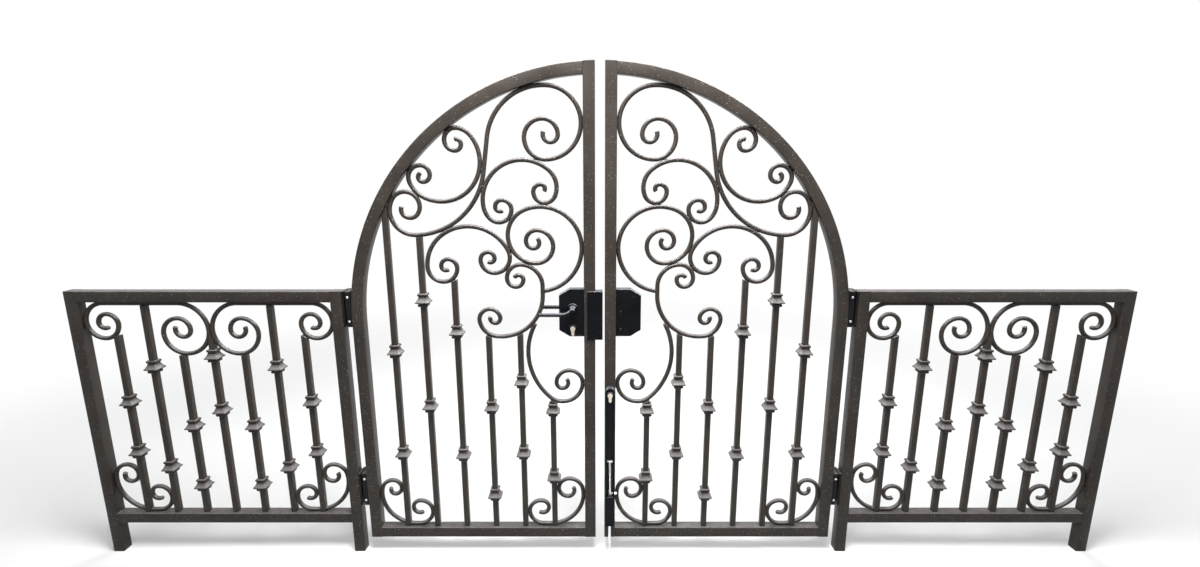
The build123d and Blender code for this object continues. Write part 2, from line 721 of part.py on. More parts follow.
# Drop bolt: a housing on the right meeting stile's front, its rod, and the key cylinder above
face_plane = left_plane.offset(frame_tube / 2)
with BuildPart() as bolt_housing:
    straight_top = housing_high - housing_wide / 2
    with BuildSketch(face_plane):
        with Locations((stile_middle, (housing_low + straight_top) / 2 - rail_top)):
            Rectangle(housing_wide, straight_top - housing_low)
        with Locations((stile_middle, straight_top - rail_top)):
            Circle(housing_wide / 2)
    extrude(amount=housing_deep)
    with BuildSketch(face_plane):
        with Locations((stile_middle, (housing_low + guide_tall + channel_high) / 2 - rail_top)):
            Rectangle(channel_wide, channel_high - housing_low - guide_tall)
    extrude(amount=housing_deep - housing_wall, mode=Mode.SUBTRACT)
    with BuildSketch(face_plane):
        with Locations((stile_middle, (window_low + window_high) / 2 - rail_top)):
            Rectangle(window_wide, window_high - window_low)
    extrude(amount=housing_deep, mode=Mode.SUBTRACT)
    slot_half = bolt_pin_radius + bolt_pin_play
    box_between(
        (bolt_x, rod_y - slot_half),
        (bolt_x + housing_wide, rod_y + slot_half),
        bolt_pin_height - slot_half,
        bolt_travel + 2 * slot_half,
        mode=Mode.SUBTRACT,
    )
    with BuildSketch(Plane.XY.offset(housing_low)):
        with Locations((bolt_x, rod_y)):
            Circle(rod_radius + rod_play)
    extrude(amount=guide_tall, mode=Mode.SUBTRACT)
    with BuildSketch(face_plane.offset(housing_deep)):
        key_outline(stile_middle, key_height - rail_top, cylinder_play)
    extrude(amount=-key_deep, mode=Mode.SUBTRACT)
save(bolt_housing, "bolt_housing")

with BuildPart() as bolt_key:
    with BuildSketch(face_plane.offset(housing_deep - key_deep)):
        key_outline(stile_middle, key_height - rail_top, 0)
    extrude(amount=key_deep + key_proud)
save(bolt_key, "bolt_key")

with BuildPart() as bolt_rod:
    with BuildSketch(Plane.XY.offset(rod_foot)):
        with Locations((bolt_x, rod_y)):
            Circle(rod_radius)
    extrude(amount=rod_top - rod_foot)
    with BuildSketch(Plane.XY.offset(rod_top - head_tall)):
        with Locations((bolt_x, rod_y)):
            Rectangle(head_wide, head_deep)
    extrude(amount=head_tall)
    with BuildSketch(Plane.YZ.offset(bolt_x)):
        with Locations((rod_y, bolt_pin_height)):
            Circle(bolt_pin_radius)
    extrude(amount=bolt_pin_reach)
save(bolt_rod, "bolt_rod")
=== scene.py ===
import logging
import math
from dataclasses import dataclass, field
from enum import Enum
from typing import NamedTuple, Optional, Sequence

import bmesh
import bpy
import numpy as np
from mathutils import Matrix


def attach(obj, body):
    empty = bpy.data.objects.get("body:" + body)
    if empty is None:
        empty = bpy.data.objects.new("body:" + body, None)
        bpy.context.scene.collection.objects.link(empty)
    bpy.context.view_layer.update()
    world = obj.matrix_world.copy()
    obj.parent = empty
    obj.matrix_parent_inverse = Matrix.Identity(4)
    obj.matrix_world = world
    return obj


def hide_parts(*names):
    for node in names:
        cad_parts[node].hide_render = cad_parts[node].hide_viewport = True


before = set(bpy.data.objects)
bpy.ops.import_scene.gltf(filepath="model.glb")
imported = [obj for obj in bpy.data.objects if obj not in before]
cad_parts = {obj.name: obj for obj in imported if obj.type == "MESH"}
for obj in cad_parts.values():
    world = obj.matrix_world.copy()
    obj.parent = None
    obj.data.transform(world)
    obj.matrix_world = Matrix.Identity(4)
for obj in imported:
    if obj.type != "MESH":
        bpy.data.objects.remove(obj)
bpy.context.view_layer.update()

LOG = logging.getLogger("gate")
MM = 0.001
Array = np.ndarray
Pair = tuple[float, float]
Triple = tuple[float, float, float]
Radii = tuple[float, ...]
Socket = bpy.types.NodeSocket


class Side(Enum):
    """Which half of the gate a piece belongs to; the value is the sign of its own X."""

    LEFT = 1
    RIGHT = -1

    @property
    def word(self) -> str:
        """The side's name as the nodes have it."""
        return self.name.lower()


class Slot(Enum):
    """The record's finishes."""

    BRONZE = "bronze_coat"
    GLOSS = "black_gloss"
    HINGE = "hinge_black"
    KEYED = "keyed_metal"
    BRIGHT = "bright_steel"


class Crease(Enum):
    """The angle in degrees above which an edge stays sharp, for each kind of piece."""

    SOLID = 30.0
    ROSE = 35.0
    PLAIN = 40.0
    CAST = 50.0
    GRIP = 60.0
    BAR = 70.0
    BEAD = 80.0


# Surfaces
@dataclass
class Shell:
    """A closed surface: points in millimetres, and its four- and three-sided faces."""

    points: Array
    quads: Array
    tris: Array

    def outward(self) -> "Shell":
        """Turns the faces outwards.

        The volume is the sum over all triangles of the triple product of their corners, divided by six; it is
        negative where the faces point inwards.

        Returns:
            The same shell, with every face reversed if its volume was negative.
        """
        fans = np.concatenate([self.quads[:, [0, 1, 2]], self.quads[:, [0, 2, 3]], self.tris])
        a, b, c = (self.points[fans[:, k]] for k in range(3))
        if np.einsum("ij,ij->", a, np.cross(b, c)) < 0:
            return Shell(self.points, self.quads[:, ::-1], self.tris[:, ::-1])
        return self

    def placed(self, way: int, x: float, z: float) -> "Shell":
        """The shell moved along X and Z, after its X is turned round where way is -1."""
        points = self.points * np.array([way, 1.0, 1.0]) + np.array([x, 0.0, z])
        return Shell(points, self.quads, self.tris).outward()


class Track(NamedTuple):
    """A path in the gate's front view: its points and its heading at each, in radians."""

    points: Array
    heading: Array


def join_shells(shells: Sequence[Shell]) -> Shell:
    """Puts shells together as one, each keeping its own points.

    Args:
        shells: The shells, each closed.

    Returns:
        One shell with the points and faces of all.
    """
    turned = [shell.outward() for shell in shells]
    starts = np.cumsum([0] + [len(shell.points) for shell in turned[:-1]])
    return Shell(
        np.concatenate([shell.points for shell in turned]),
        np.concatenate([shell.quads + start for shell, start in zip(turned, starts)]),
        np.concatenate([shell.tris + start for shell, start in zip(turned, starts)]),
    )


def grid_shell(points: Array, ring: bool = False) -> Shell:
    """Closes a grid of points round its columns, and caps its first and last row or joins them.

    Args:
        points: Array of rows by columns by three; each row is closed.
        ring: True where the last row is joined to the first, which leaves a hole in the middle.

    Returns:
        The shell. Face (i, j) joins points (i, j), (i, j+1), (i+1, j+1) and (i+1, j), and each cap is a fan
        from the middle of its row.
    """
    rows, columns = points.shape[:2]
    i, j = np.meshgrid(np.arange(rows if ring else rows - 1), np.arange(columns), indexing="ij")
    m, k = (i + 1) % rows, (j + 1) % columns
    quads = np.stack([i * columns + j, i * columns + k, m * columns + k, m * columns + j], -1).reshape(-1, 4)
    flat = points.reshape(-1, 3)
    if ring:
        return Shell(flat, quads, np.zeros((0, 3), dtype=int)).outward()
    ends = np.stack([points[0].mean(axis=0), points[-1].mean(axis=0)])
    middle, base = np.full(columns, len(flat)), (rows - 1) * columns
    first = np.stack([middle, k[0], j[0]], -1)
    last = np.stack([middle + 1, base + j[0], base + k[0]], -1)
    return Shell(np.concatenate([flat, ends]), quads, np.concatenate([first, last])).outward()


def around(sides: int) -> Array:
    """Evenly spaced angles once round, in radians."""
    return np.arange(sides) * 2 * math.pi / sides


def unit(angle: Array) -> Array:
    """The points (cos a, sin a) of angles in radians."""
    return np.stack([np.cos(angle), np.sin(angle)], -1)


def square_section(half: float, corner: float, steps: int = 3) -> Array:
    """A square section with rounded corners.

    Args:
        half: Half its width.
        corner: Radius of the corners.
        steps: Faces along each corner.

    Returns:
        Points: each corner's own centre plus the radius times (cos a, sin a), for its quarter turn of a.
    """
    quarter = np.arange(4)[:, None] * 90.0
    angle = np.radians(quarter + np.linspace(0.0, 90.0, steps + 1)[None])
    centre = np.sign(unit(np.radians(quarter + 45.0))) * (half - corner)
    return (centre + corner * unit(angle)).reshape(-1, 2)


def carry(track: Track, section: Array, depth: float = 0.0, grow: float | Array = 1.0) -> Shell:
    """Carries a closed section along a path in the front view.

    At each point of the path, the section's first number u lies along the path's normal and its second number
    v along the gate's depth: point = (path + normal * u * grow, depth + v * grow).

    Args:
        track: The path.
        section: The section's points, the same all along or one row for each point of the path.
        depth: Where the path lies in Y.
        grow: Scale of the section, or its scale at each point of the path.

    Returns:
        The capped shell.
    """
    scale = (grow * np.ones(len(track.points)))[:, None]
    u, v = section[..., 0] * scale, section[..., 1] * scale
    x = track.points[:, 0, None] - np.sin(track.heading)[:, None] * u
    z = track.points[:, 1, None] + np.cos(track.heading)[:, None] * u
    return grid_shell(np.stack([x, depth + v, z], -1))


def beam(start: Pair, end: Pair, section: Array) -> Shell:
    """A straight bar between two points of the front view."""
    heading = math.atan2(end[1] - start[1], end[0] - start[0])
    return carry(Track(np.array([start, end], dtype=float), np.full(2, heading)), section)


def bar_shell(track: Track, dome: float = 0.35, sides: int = 16) -> Shell:
    """The round bar along a path, with slightly domed ends.

    Args:
        track: The path of its centre line.
        dome: Height of a dome as a share of the radius.
        sides: Faces round the bar.

    Returns:
        The shell. Into a dome its radius shrinks by the square root of one minus the square of the distance.
    """
    radius = GATE.round_bar / 2
    into = np.array([0.35, 0.7, 0.9])
    reach, scale = into[:, None] * radius * dome, np.sqrt(1 - into**2)
    ahead = unit(track.heading)
    first, last = track.points[0] - ahead[0] * reach[::-1], track.points[-1] + ahead[-1] * reach
    longer = Track(np.concatenate([first, track.points, last]), np.pad(track.heading, len(into), mode="edge"))
    grow = np.concatenate([scale[::-1], np.ones(len(track.points)), scale])
    return carry(longer, radius * unit(around(sides)), grow=grow)


def turned(profile: Array, centre: Sequence[float], sides: int) -> Array:
    """The grid of points of a profile turned round an axis along Y.

    Args:
        profile: Pairs of (distance along the axis, radius).
        centre: Where the axis starts.
        sides: Faces round the axis.

    Returns:
        The grid: pair (d, r) gives the row r * (cos a, sin a) at d along the axis.
    """
    row = profile[:, 1, None, None] * unit(around(sides))
    along = np.broadcast_to(profile[:, 0, None], row.shape[:2])
    return np.stack([row[..., 0], along, row[..., 1]], -1) + np.array(centre)


def screw_shell(place: Sequence[float], radius: float, tall: float, sides: int = 20) -> Shell:
    """A screw's low round head, facing the front, with a hollow for the key in its middle.

    Args:
        place: Middle of the face that it sits on, (x, y, z).
        radius: The head's radius.
        tall: How far it stands out.
        sides: Faces round it.

    Returns:
        The shell.
    """
    profile = np.array([(0.0, 0.94), (0.45, 1.0), (0.80, 0.86), (1.0, 0.60), (1.0, 0.42), (0.55, 0.36)])
    return grid_shell(turned(profile * np.array([-tall, radius]), place, sides))


def key_rim(x: float, z: float, face: float, way: int, radius: float = 12.0,
            arc: Pair = (-55.0, 235.0)) -> Shell:
    """The raised rim over the round part of a key's hole, open below, where the hole is narrow.

    Args:
        x: The hole's middle.
        z: Its height from the bottom rail's top.
        face: Y of the face that it stands on.
        way: -1 for a front face, 1 for a back one.
        radius: Radius of the rim's middle.
        arc: The angles in degrees between which it runs.

    Returns:
        The shell: a low rounded profile carried along the arc.
    """
    angle = np.radians(np.linspace(*arc, 30))
    path = Track(np.array([x, z]) + radius * unit(angle), angle + math.pi / 2)
    half = [(1.3, 0.3), (1.2, -0.9), (0.7, -1.5), (0.0, -1.7)]
    profile = np.array(half + [(-across, out) for across, out in half[2::-1]])
    return carry(path, profile * np.array([1.0, -way]), face)


# Rings that touch each other, as the bars are bent
class Ring(NamedTuple):
    """A circle that part of a bar follows."""

    x: float
    z: float
    radius: float


Row = list[tuple[Ring, int]]


def polar(point: Sequence[float], angle: float, length: float) -> Pair:
    """The point at an angle in degrees and a distance from another one."""
    turn = math.radians(angle)
    return point[0] + length * math.cos(turn), point[1] + length * math.sin(turn)


def bearing(first: Sequence[float], second: Sequence[float]) -> float:
    """The angle in degrees at which one point sees another."""
    return math.degrees(math.atan2(second[1] - first[1], second[0] - first[0]))


def meet(first: Sequence[float], reach: float, second: Sequence[float], other: float) -> Pair:
    """The point at given distances from two others, to the right of the line from the first to the second.

    Args:
        first: One point.
        reach: Distance from it.
        second: The other point.
        other: Distance from that one.

    Returns:
        The point.
    """
    dx, dz = second[0] - first[0], second[1] - first[1]
    apart = math.hypot(dx, dz)
    along = (reach**2 - other**2 + apart**2) / (2 * apart)
    off = math.sqrt(reach**2 - along**2)
    return first[0] + (along * dx + off * dz) / apart, first[1] + (along * dz - off * dx) / apart


def nest(outer: Ring, angle: float, radius: float) -> Ring:
    """The ring of another radius that shares a ring's tangent at an angle seen from its centre."""
    return Ring(*polar(outer, angle, outer.radius - radius), radius)


def fit(radius: float, first: Ring, second: Ring, apart: tuple[bool, bool]) -> Ring:
    """The ring that leans on two others, to the right of the line from the first to the second.

    Args:
        radius: Its radius.
        first: One of the others.
        second: The other one.
        apart: For each, True where the bars lie side by side and False where one ring runs on into the other.

    Returns:
        The ring.
    """
    near, far = (other.radius + GATE.pair + radius if beside else abs(other.radius - radius)
                 for other, beside in zip((first, second), apart))
    return Ring(*meet(first, near, second, far), radius)


def coil(outer: Ring, angle: float, turn: int, radii: Sequence[float]) -> list[Ring]:
    """Rings winding inwards, each taking over a quarter turn after the last.

    Args:
        outer: The ring that the first one takes over from.
        angle: Where it does so, in degrees.
        turn: 1 or -1, the way that the bar winds.
        radii: The rings' radii.

    Returns:
        The rings, outermost first.
    """
    rings = [outer]
    for place, radius in enumerate(radii):
        rings.append(nest(rings[-1], angle + 90 * turn * place, radius))
    return rings[1:]


def both_ways(first: Sequence[Ring], first_turn: int, second: Sequence[Ring], second_turn: int) -> Row:
    """A row of rings from one eye, through the wide end of both arms, to the other eye."""
    return [(ring, -first_turn) for ring in reversed(first)] + [(ring, second_turn) for ring in second]


def follow(row: Row, start: float, end: float, step: float = 5.0, bend: float = 9.0) -> Track:
    """Follows a row of rings and the straight runs between them.

    Each ring is followed as centre + radius * (cos a, sin a), with the heading a quarter turn ahead of a.

    Args:
        row: The rings, each with its turn of 1 or -1.
        start: Angle on the first ring at which the bar starts.
        end: Angle on the last ring at which it ends.
        step: Greatest distance between two points.
        bend: Greatest turn between two points, in degrees.

    Returns:
        The path. A ring that starts where the last one ended leaves out its first point.
    """
    arrive, leave, same = [start], [], 0.01
    for (a, turn_a), (b, turn_b) in zip(row, row[1:]):
        lead = turn_b * b.radius - turn_a * a.radius
        run = math.sqrt(max((b.x - a.x) ** 2 + (b.z - a.z) ** 2 - lead**2, 0.0))
        heading = math.degrees(math.atan2(b.z - a.z, b.x - a.x) - math.atan2(lead, run))
        leave.append(heading - 90 * turn_a)
        arrive.append(heading - 90 * turn_b)
    leave.append(end)
    points, headings = [], []
    for (ring, turn), first, last in zip(row, arrive, leave):
        sweep = (turn * (last - first)) % 360
        parts = max(math.radians(sweep) * ring.radius / step, sweep / bend)
        count = max(3, math.ceil(parts) + 1)
        angle = np.radians(first + turn * np.linspace(0.0, sweep, count))
        arc = np.array([ring.x, ring.z]) + ring.radius * unit(angle)
        skip = 1 if points and np.linalg.norm(points[-1][-1] - arc[0]) < same else 0
        points.append(arc[skip:])
        headings.append((angle + turn * math.pi / 2)[skip:])
    return Track(np.concatenate(points), np.concatenate(headings))


# Sizes
@dataclass(frozen=True)
class Frame:
    """The gate's main sizes in millimetres, as the model has them.

    The bars are laid out for the model's own thickness, bar, and drawn round with the diameter round_bar.
    """

    tube: float = 38.0
    edge: float = 2.2
    leaf: float = 822.0
    gap: float = 32.0
    hinge_gap: float = 30.0
    clearance: float = 60.0
    stile: float = 818.0
    picket: float = 19.0
    picket_edge: float = 1.4
    pitch: float = 108.0
    first_picket: float = 111.0
    pickets: int = 6
    bar: float = 12.7
    round_bar: float = 15.0
    seat: float = 0.3
    bay: float = 853.0
    post: float = 985.0
    bay_rail: float = 118.0
    hinge_tall: float = 124.0
    hinge_levels: Pair = (190.0, 861.0)
    hinge_set_back: float = 1.0
    screw_inset: float = 8.5
    screw_spread: float = 42.0

    @property
    def tube_section(self) -> Array:
        """The frame tube's section."""
        return square_section(self.tube / 2, self.edge)

    @property
    def hinge_middles(self) -> list[float]:
        """Heights of the hinges' middles above the bottom rail's top."""
        return [level + self.hinge_tall / 2 - self.rail_top for level in self.hinge_levels]

    @property
    def outer(self) -> float:
        """The arch's outer radius."""
        return self.leaf + self.gap / 2

    @property
    def inner(self) -> float:
        """The arch's inner radius."""
        return self.outer - self.tube

    @property
    def spring(self) -> float:
        """Height of the arch's centre above the bottom rail's top."""
        return self.stile - self.tube

    @property
    def rail_top(self) -> float:
        """Height of the bottom rail's top above the ground."""
        return self.clearance + self.tube

    @property
    def stile_face(self) -> float:
        """Distance of the meeting stile's inner face from the gate's middle."""
        return self.gap / 2 + self.tube

    @property
    def middle(self) -> float:
        """X of the gate's middle; the origin is under the left hinge post."""
        return self.outer + self.hinge_gap + self.tube / 2

    @property
    def touch(self) -> float:
        """Distance of a bar's centre line from what it touches."""
        return self.bar / 2 + self.seat

    @property
    def pair(self) -> float:
        """Distance between the centre lines of two bars that touch."""
        return self.bar + self.seat

    @property
    def picket_places(self) -> list[float]:
        """X of each picket on the left leaf, from the meeting stile outwards."""
        return [-self.stile_face - self.first_picket - self.pitch * place for place in range(self.pickets)]

    @property
    def bay_clear(self) -> float:
        """Height between the rails of a fence bay."""
        return self.post - 2 * self.tube - self.bay_rail


GATE = Frame()


def on_leaf(shell: Shell, side: Side) -> Shell:
    """Sets a shell drawn from the gate's middle and the bottom rail's top on the left or right leaf."""
    return shell.placed(side.value, GATE.middle, GATE.rail_top)


def picket_shell(x: float, height: float, ring: Optional[Ring], mirrored: bool = False) -> Shell:
    """A picket, with its top cut to the ring that it carries.

    A top point at x lies on the ring's underside, ring z minus the square root of its outer radius squared
    less the square of x - ring x, but no higher than that underside is at the picket's middle.

    Args:
        x: The picket's middle.
        height: Where it ends if it carries no ring.
        ring: The ring.
        mirrored: True where it also carries the ring's mirror image.

    Returns:
        The shell.
    """
    shell = beam((x, 0.0), (x, height), square_section(GATE.picket / 2, GATE.picket_edge))
    if ring is not None:
        top = shell.points[:, 2] > height / 2
        across = shell.points[top, 0]
        if mirrored:
            across = x - np.abs(across - x)
        radius = ring.radius + GATE.touch
        reach = np.sqrt(np.maximum(radius**2 - (across - ring.x) ** 2, 0.0))
        centre = math.sqrt(radius**2 - (x - ring.x) ** 2)
        shell.points[top, 2] = np.minimum(ring.z - reach, ring.z - centre)
    return shell


# Materials
class Nodes:
    """Adds and links nodes in one tree."""

    def __init__(self, tree: bpy.types.NodeTree) -> None:
        """Keeps the tree and clears it."""
        self.tree = tree
        tree.nodes.clear()

    def feed(self, target: Socket, value: object) -> None:
        """Gives an input its value.

        Args:
            target: The input.
            value: A socket to link into it, a colour or a number.
        """
        if isinstance(value, bpy.types.NodeSocket):
            self.tree.links.new(value, target)
        else:
            target.default_value = (*value, 1.0) if target.type == "RGBA" else value

    def add(self, kind: str, feeds: Optional[dict] = None, **settings: object) -> bpy.types.Node:
        """Adds a node.

        Args:
            kind: The node's type.
            feeds: What goes into its inputs, by their names or numbers.
            settings: Properties to set on it.

        Returns:
            The node.
        """
        node = self.tree.nodes.new(kind)
        for name, value in settings.items():
            setattr(node, name, value)
        for name, value in (feeds or {}).items():
            self.feed(node.inputs[name], value)
        return node

    def work_out(self, operation: str, *values: object) -> Socket:
        """The result of a Math node on sockets or numbers."""
        return self.add("ShaderNodeMath", dict(enumerate(values)), operation=operation).outputs[0]

    def mix(self, mask: Socket, low: object, high: object) -> Socket:
        """The colour low where a mask is 0 and high where it is 1."""
        return self.add("ShaderNodeMix", {0: mask, 6: low, 7: high}, data_type="RGBA").outputs[2]

    def ramp(self, source: Socket, *stops: Pair) -> Socket:
        """A grey ramp over a value.

        Args:
            source: The value.
            stops: Pairs of (position, grey level).

        Returns:
            The ramp's output.
        """
        node = self.add("ShaderNodeValToRGB", {"Fac": source})
        elements = node.color_ramp.elements
        elements[0].position, elements[1].position = stops[0][0], stops[-1][0]
        for position, _ in stops[1:-1]:
            elements.new(position)
        for element, (_, level) in zip(elements, stops):
            element.color = (level, level, level, 1.0)
        return node.outputs["Color"]


class Group(Nodes):
    """A shader node group, with its inputs as source and its outputs as out."""

    def __init__(self, name: str, inputs: dict[str, float], outputs: Sequence[str]) -> None:
        """Makes the group and its sockets.

        Args:
            name: The group's name.
            inputs: Value inputs with their defaults; a vector input named Place comes before them.
            outputs: Names of the value outputs.
        """
        super().__init__(bpy.data.node_groups.new(name, "ShaderNodeTree"))
        new_socket = self.tree.interface.new_socket
        new_socket("Place", in_out="INPUT", socket_type="NodeSocketVector")
        for label, value in inputs.items():
            new_socket(label, in_out="INPUT", socket_type="NodeSocketFloat").default_value = value
        for label in outputs:
            new_socket(label, in_out="OUTPUT", socket_type="NodeSocketFloat")
        self.source = self.add("NodeGroupInput").outputs
        self.out = self.add("NodeGroupOutput").inputs

    def noise(self, scale: str, detail: float, rough: float = 0.5) -> Socket:
        """A noise over Place.

        Args:
            scale: Name of the input that is its scale.
            detail: Its detail.
            rough: Its roughness.

        Returns:
            The noise's value.
        """
        place, size = self.source["Place"], self.source[scale]
        feeds = {"Vector": place, "Scale": size, "Detail": detail, "Roughness": rough}
        return self.add("ShaderNodeTexNoise", feeds).outputs["Fac"]


def coat_grain() -> Group:
    """Grain of a sprayed coat: a fine Height for the bump, and a slow Shade for colour and roughness.

    Returns:
        The group.
    """
    group = Group("coat grain", {"Grain": 700.0, "Cloud": 9.0}, ["Height", "Shade"])
    group.feed(group.out["Height"], group.noise("Grain", 3.0, 0.6))
    group.feed(group.out["Shade"], group.noise("Cloud", 4.0))
    return group


def pale_specks() -> Group:
    """Small droplets and dust: a soft spot round the middle of some Voronoi cells, of 0.3 to 1.2 times Size.

    Returns:
        The group.
    """
    group = Group("pale specks", {"Scale": 160.0, "Share": 0.25, "Size": 0.16}, ["Mask"])
    place, scale, share, size = (group.source[name] for name in ("Place", "Scale", "Share", "Size"))
    cells = group.add("ShaderNodeTexVoronoi", {"Vector": place, "Scale": scale}).outputs
    pick = group.add("ShaderNodeSeparateColor", {"Color": cells["Color"]}).outputs
    reach = group.work_out("MULTIPLY", group.work_out("MULTIPLY_ADD", pick[1], 0.9, 0.3), size)
    spot = group.ramp(group.work_out("DIVIDE", cells["Distance"], reach), (0.45, 0.9), (1.0, 0.0))
    some = group.work_out("LESS_THAN", pick[0], share)
    group.feed(group.out["Mask"], group.work_out("MULTIPLY", spot, some))
    return group


def painted_upper_sheen() -> Group:
    """Painted sky highlight and some dust on upper sides: most on faces that slope, less on level ones,
    broken by a noise.

    Returns:
        The group.
    """
    group = Group("painted upper sheen", {"Scale": 45.0}, ["Mask"])
    normal = group.add("ShaderNodeNewGeometry").outputs["Normal"]
    height = group.add("ShaderNodeSeparateXYZ", {"Vector": normal}).outputs["Z"]
    above = group.ramp(height, (0.30, 0.0), (0.62, 1.0), (0.86, 1.0), (1.0, 0.35))
    group.feed(group.out["Mask"], group.work_out("MULTIPLY", above, group.noise("Scale", 4.0)))
    return group


class Effects:
    """The node groups that the finishes share, each built once."""

    def __init__(self) -> None:
        """Builds the groups."""
        self.grain, self.specks, self.painted_sheen = coat_grain().tree, pale_specks().tree, painted_upper_sheen().tree


@dataclass(frozen=True)
class Finish:
    """A metal finish, painted or bare.

    Attributes:
        name: The material's name.
        dark: The colour in the shade's low parts.
        light: The colour in its high parts.
        rough: Lowest and highest roughness.
        metallic: 1 for bare metal.
        grain: Scale of the fine grain per metre.
        bump: Depth of the grain's bump in metres.
        speck: Scale per metre, share of the cells and size of the pale specks.
        speck_and_sheen_colour: Their colour, and that of the painted highlight on upper sides.
        painted_sheen: How strongly the painted highlight on upper sides shows, with some dust in it.
        shine: The shader's specular level, 0.5 for a common lacquer.
    """

    name: str
    dark: Triple
    light: Triple
    rough: Pair
    metallic: float = 0.0
    grain: float = 700.0
    bump: float = 0.0001
    speck: Triple = (0.0, 0.0, 0.0)
    speck_and_sheen_colour: Triple = (0.40, 0.37, 0.33)
    painted_sheen: float = 0.0
    shine: float = 0.5

    def build(self, effects: Effects) -> bpy.types.Material:
        """Makes the material.

        Args:
            effects: The shared node groups.

        Returns:
            The material.
        """
        material = bpy.data.materials.new(self.name)
        material.use_nodes = True
        nodes = Nodes(material.node_tree)
        place = {"Place": nodes.add("ShaderNodeTexCoord").outputs["Object"]}
        feeds = {**place, "Grain": self.grain}
        height, shade = nodes.add("ShaderNodeGroup", feeds, node_tree=effects.grain).outputs
        colour = nodes.mix(nodes.ramp(shade, (0.35, 0.0), (0.65, 1.0)), self.dark, self.light)
        # Painted highlight: faces that slope upwards are mixed towards a pale colour as if they reflected the
        # sky, with some dust in it.
        if self.painted_sheen:
            painted_sheen_mask = nodes.add("ShaderNodeGroup", place, node_tree=effects.painted_sheen).outputs["Mask"]
            colour = nodes.mix(nodes.ramp(painted_sheen_mask, (0.0, 0.0), (0.5, self.painted_sheen)), colour, self.speck_and_sheen_colour)
        if any(self.speck):
            feeds = {**place, **dict(zip(("Scale", "Share", "Size"), self.speck))}
            specks = nodes.add("ShaderNodeGroup", feeds, node_tree=effects.specks).outputs["Mask"]
            colour = nodes.mix(specks, colour, self.speck_and_sheen_colour)
        low, high = self.rough
        bump = nodes.add("ShaderNodeBump", {"Strength": 1.0, "Distance": self.bump, "Height": height})
        shader = nodes.add("ShaderNodeBsdfPrincipled", {
            "Base Color": colour, "Roughness": nodes.ramp(shade, (0.3, low), (0.7, high)),
            "Normal": bump.outputs["Normal"], "Metallic": self.metallic, "Specular IOR Level": self.shine})
        nodes.add("ShaderNodeOutputMaterial", {"Surface": shader.outputs[0]})
        return material


# Three finishes paint a highlight on their upper sides, with some dust in it, as if those sides reflected the
# sky.
FINISHES = {
    Slot.BRONZE: Finish("bronze coat", (0.031, 0.0253, 0.0215), (0.044, 0.0365, 0.031), (0.28, 0.40),
                        grain=900.0, bump=0.00012, speck=(170.0, 0.34, 0.19), speck_and_sheen_colour=(0.48, 0.46, 0.47),
                        painted_sheen=0.30, shine=0.20),
    Slot.GLOSS: Finish("gloss black", (0.0030, 0.0033, 0.0045), (0.0060, 0.0066, 0.0090), (0.12, 0.22),
                       grain=220.0, bump=0.00005, speck=(220.0, 0.14, 0.14), speck_and_sheen_colour=(0.42, 0.44, 0.47),
                       painted_sheen=0.40, shine=0.08),
    Slot.HINGE: Finish("satin black", (0.005, 0.005, 0.006), (0.010, 0.010, 0.011), (0.30, 0.42),
                       grain=500.0, bump=0.00008, speck=(200.0, 0.18, 0.15), painted_sheen=0.35, shine=0.12),
    Slot.KEYED: Finish("satin nickel", (0.52, 0.46, 0.39), (0.64, 0.58, 0.50), (0.28, 0.40), metallic=1.0,
                       grain=900.0, bump=0.00003),
    Slot.BRIGHT: Finish("bright steel", (0.52, 0.53, 0.55), (0.66, 0.67, 0.68), (0.20, 0.34), metallic=1.0,
                        grain=1200.0, bump=0.00004),
}


def add_object(name: str, data: bpy.types.ID) -> bpy.types.Object:
    """Puts a mesh, a lamp or a camera into the scene, at the origin.

    Args:
        name: The object's name.
        data: What it shows.

    Returns:
        The object.
    """
    thing = bpy.data.objects.new(name, data)
    bpy.context.scene.collection.objects.link(thing)
    return thing


